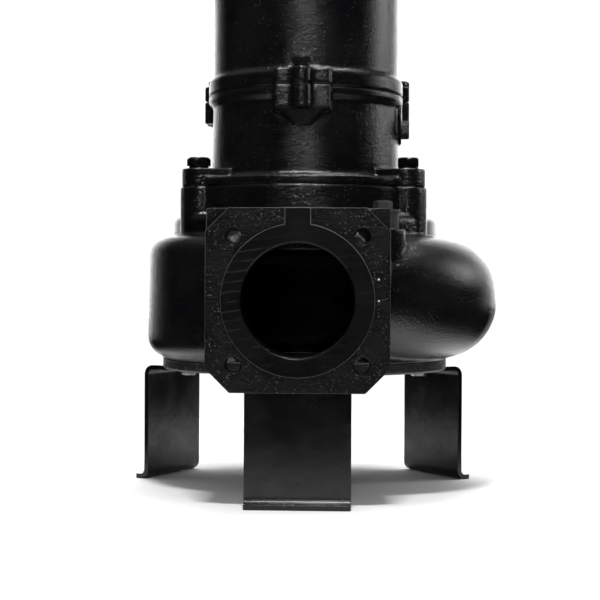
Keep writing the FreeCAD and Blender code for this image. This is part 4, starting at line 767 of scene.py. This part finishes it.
def leg_bolt_places():
    """Two places under each leg, with the heads facing down."""
    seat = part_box("leg_bolts")[0][2] + SMALL_HEAD
    upside_down = Matrix.Rotation(math.pi, 4, "X")
    return [turned_by(degrees) @ Matrix.Translation((LEG_BOLT_REACH, side * LEG_BOLT_SIDE, seat))
            @ turned_by(17 * index + 23 * side) @ upside_down
            for index, degrees in enumerate(LEG_DEGREES) for side in (-1, 1)]


screwed_joint("casing", CASING_LUG_CIRCLE, CASING_LUG_DEGREES, CASING_WASHER, CASING_BOLT,
              (160, 130, 40), (0, 12, 27))
for joint_label in ("motor", "top_cover"):
    screwed_joint(joint_label, JOINT_CIRCLE, JOINT_DEGREES, JOINT_WASHER, JOINT_BOLT,
                  (70, 10, 200), (20, 0, 41))
place_copies(bolt_master("leg_bolt_master", *LEG_BOLT), "leg_bolt", leg_bolt_places(),
             "plain_bolts", "leg_bolts")
handle_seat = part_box("handle_bolts")[1][2] - SMALL_HEAD
place_copies(bolt_master("handle_bolt_master", *HANDLE_BOLT), "handle_bolt",
             [Matrix.Translation((side * HANDLE_BOLT_X, 0, handle_seat)) for side in (-1, 1)],
             "plain_bolts", "handle_bolts")


def flange_threads():
    """Threads inside the four flange holes, each a helix that runs back from the plate."""
    holes = ((-1, 1, 12), (1, 1, 12), (-1, -1, 7), (1, -1, 7))
    for number, (side, level, turns) in enumerate(holes, 1):
        bpy.ops.mesh.primitive_plane_add(size=1.0)
        thread = primitive(f"flange_thread_{number}")
        edit(thread)
        bpy.ops.mesh.delete(type="VERT")
        done()
        points = [(radius, 0.0, along) for radius, along in THREAD_PROFILE]
        thread.data.from_pydata(points, [(i, i + 1) for i in range(len(points) - 1)], [])
        wound = thread.modifiers.new("wound", "SCREW")
        wound.axis = "Z"
        wound.angle = 2 * math.pi
        wound.screw_offset = THREAD_PITCH
        wound.iterations = turns
        wound.steps = wound.render_steps = 40
        wound.use_merge_vertices = True
        apply_modifiers(thread)
        start = (side * FLANGE_HOLE_REACH, FLANGE_Y + THREAD_START,
                 FLANGE_Z + level * FLANGE_HOLE_REACH)
        bake_place(thread, Matrix.Translation(start) @ Matrix.Rotation(-math.pi / 2, 4, "X"))
        smooth_by_angle(thread, 25.0)
        settle(thread, MATERIALS["painted_bolts"], "painted_bolts")


flange_threads()


# Floor, surroundings and lights

def white_floor():
    """A white floor. Reflections show it as white near the pump and behind it, and as dark
    elsewhere. Far out the camera sees it as plain white."""
    bpy.ops.mesh.primitive_plane_add(size=14.0)
    floor = primitive("floor")
    paint, tree, shader = principled("white_floor")
    place = object_place(tree)
    colour = blend_colours(tree, noise(tree, place, 3.0), FLOOR_DARKER, FLOOR_LIGHTER)
    connect(tree, shader, Base_Color=colour, Roughness=0.9, Specular_IOR_Level=0.0)
    unlit = add(tree, "ShaderNodeBsdfDiffuse", {"Color": UNLIT})
    parts = parts_of(tree, place)
    side = math_node(tree, "ABSOLUTE", parts["X"])
    near = times(tree, fade(tree, parts["Y"], -0.60, -0.24), fade(tree, side, 0.42, 0.20))
    wedge = minus(tree, side, times(tree, parts["Y"], 0.45))
    rear = times(tree, fade(tree, wedge, 0.12, -0.02), fade(tree, parts["Y"], 0.0, 0.2))
    kept = math_node(tree, "MAXIMUM", near, rear)
    path = add(tree, "ShaderNodeLightPath").outputs
    darkened = times(tree, path["Is Glossy Ray"], minus(tree, 1.0, kept))
    ground = add(tree, "ShaderNodeMixShader",
                 {0: darkened, 1: shader.outputs["BSDF"], 2: unlit.outputs["BSDF"]})
    backdrop = add(tree, "ShaderNodeEmission", {"Color": WHITE, "Strength": BACKDROP_STRENGTH})
    far = times(tree, fade(tree, length(tree, place), 0.5, 1.4), path["Is Camera Ray"])
    whole = add(tree, "ShaderNodeMixShader",
                {0: far, 1: ground.outputs["Shader"], 2: backdrop.outputs["Emission"]})
    connect(tree, tree.nodes["Material Output"], Surface=whole.outputs["Shader"])
    floor.data.materials.append(paint)


def studio():
    """Light from above that is dim in front and weaker in reflections, and a white wall behind
    that shows only in reflections. The camera sees plain white."""
    world = bpy.data.worlds.new("studio")
    scene.world = world
    world.use_nodes = True
    sky = world.node_tree
    direction = parts_of(sky, add(sky, "ShaderNodeTexCoord").outputs["Generated"])
    path = add(sky, "ShaderNodeLightPath").outputs
    mirrored = path["Is Glossy Ray"]
    behind = times(sky, fade(sky, direction["Y"], 0.72, 0.98), mirrored)
    above = times(sky, fade(sky, direction["Z"], 0.42, 0.85),
                  minus(sky, 1.2, times(sky, mirrored, 0.9)))
    front_dark = fade(sky, direction["Y"], -0.6, 0.1, 0.05, 1.0)
    light = plus(sky, times(sky, above, front_dark), times(sky, behind, 3.0))
    light = plus(sky, light, 0.003)
    strength = add(sky, "ShaderNodeMix", {0: path["Is Camera Ray"], 2: light,
                                          3: BACKDROP_STRENGTH}, data_type="FLOAT")
    connect(sky, sky.nodes["Background"], Color=WHITE, Strength=strength.outputs[0])


def soft_box(name, place, target, size, power):
    """A rectangular lamp at a place, turned to a target."""
    lamp = bpy.data.lights.new(name, "AREA")
    lamp.shape = "RECTANGLE"
    lamp.size, lamp.size_y = size
    lamp.energy = power
    obj = bpy.data.objects.new(name, lamp)
    scene.collection.objects.link(obj)
    obj.location = place
    obj.rotation_euler = (Vector(target) - Vector(place)).to_track_quat("-Z", "Y").to_euler()


white_floor()
studio()
# Lamps: name, place, target, size and power.
for lamp_values in (("top_light", (0.14, 0.22, 1.9), (0, 0, 0.2), (1.0, 0.7), 30.0),
                    ("front_light", (0.03, -1.7, 0.80), (0, -0.1, 0.40), (0.06, 0.06), 2.6),
                    ("front_top_light", (0.02, -0.85, 1.75), (0, -0.1, 0.30), (0.24, 0.10), 24.0),
                    ("side_light", (1.25, 0.45, 0.75), (0.12, -0.1, 0.22), (0.35, 0.5), 2.8)):
    soft_box(*lamp_values)


# Camera, matched to the photograph

camera_data = bpy.data.cameras.new("camera")
camera = bpy.data.objects.new("camera", camera_data)
scene.collection.objects.link(camera)
scene.camera = camera
camera_data.lens = 87.0
camera_data.sensor_width = 36.0
camera_data.shift_y = -0.025
camera_data.clip_start = 0.01
camera.location = (0.05645, -1.53497, 0.211)
camera.rotation_euler = (math.radians(90.0), 0.0, math.radians(2.3))
camera.rotation_euler.rotate_axis("Z", math.radians(0.3))

scene.view_settings.view_transform = "Standard"
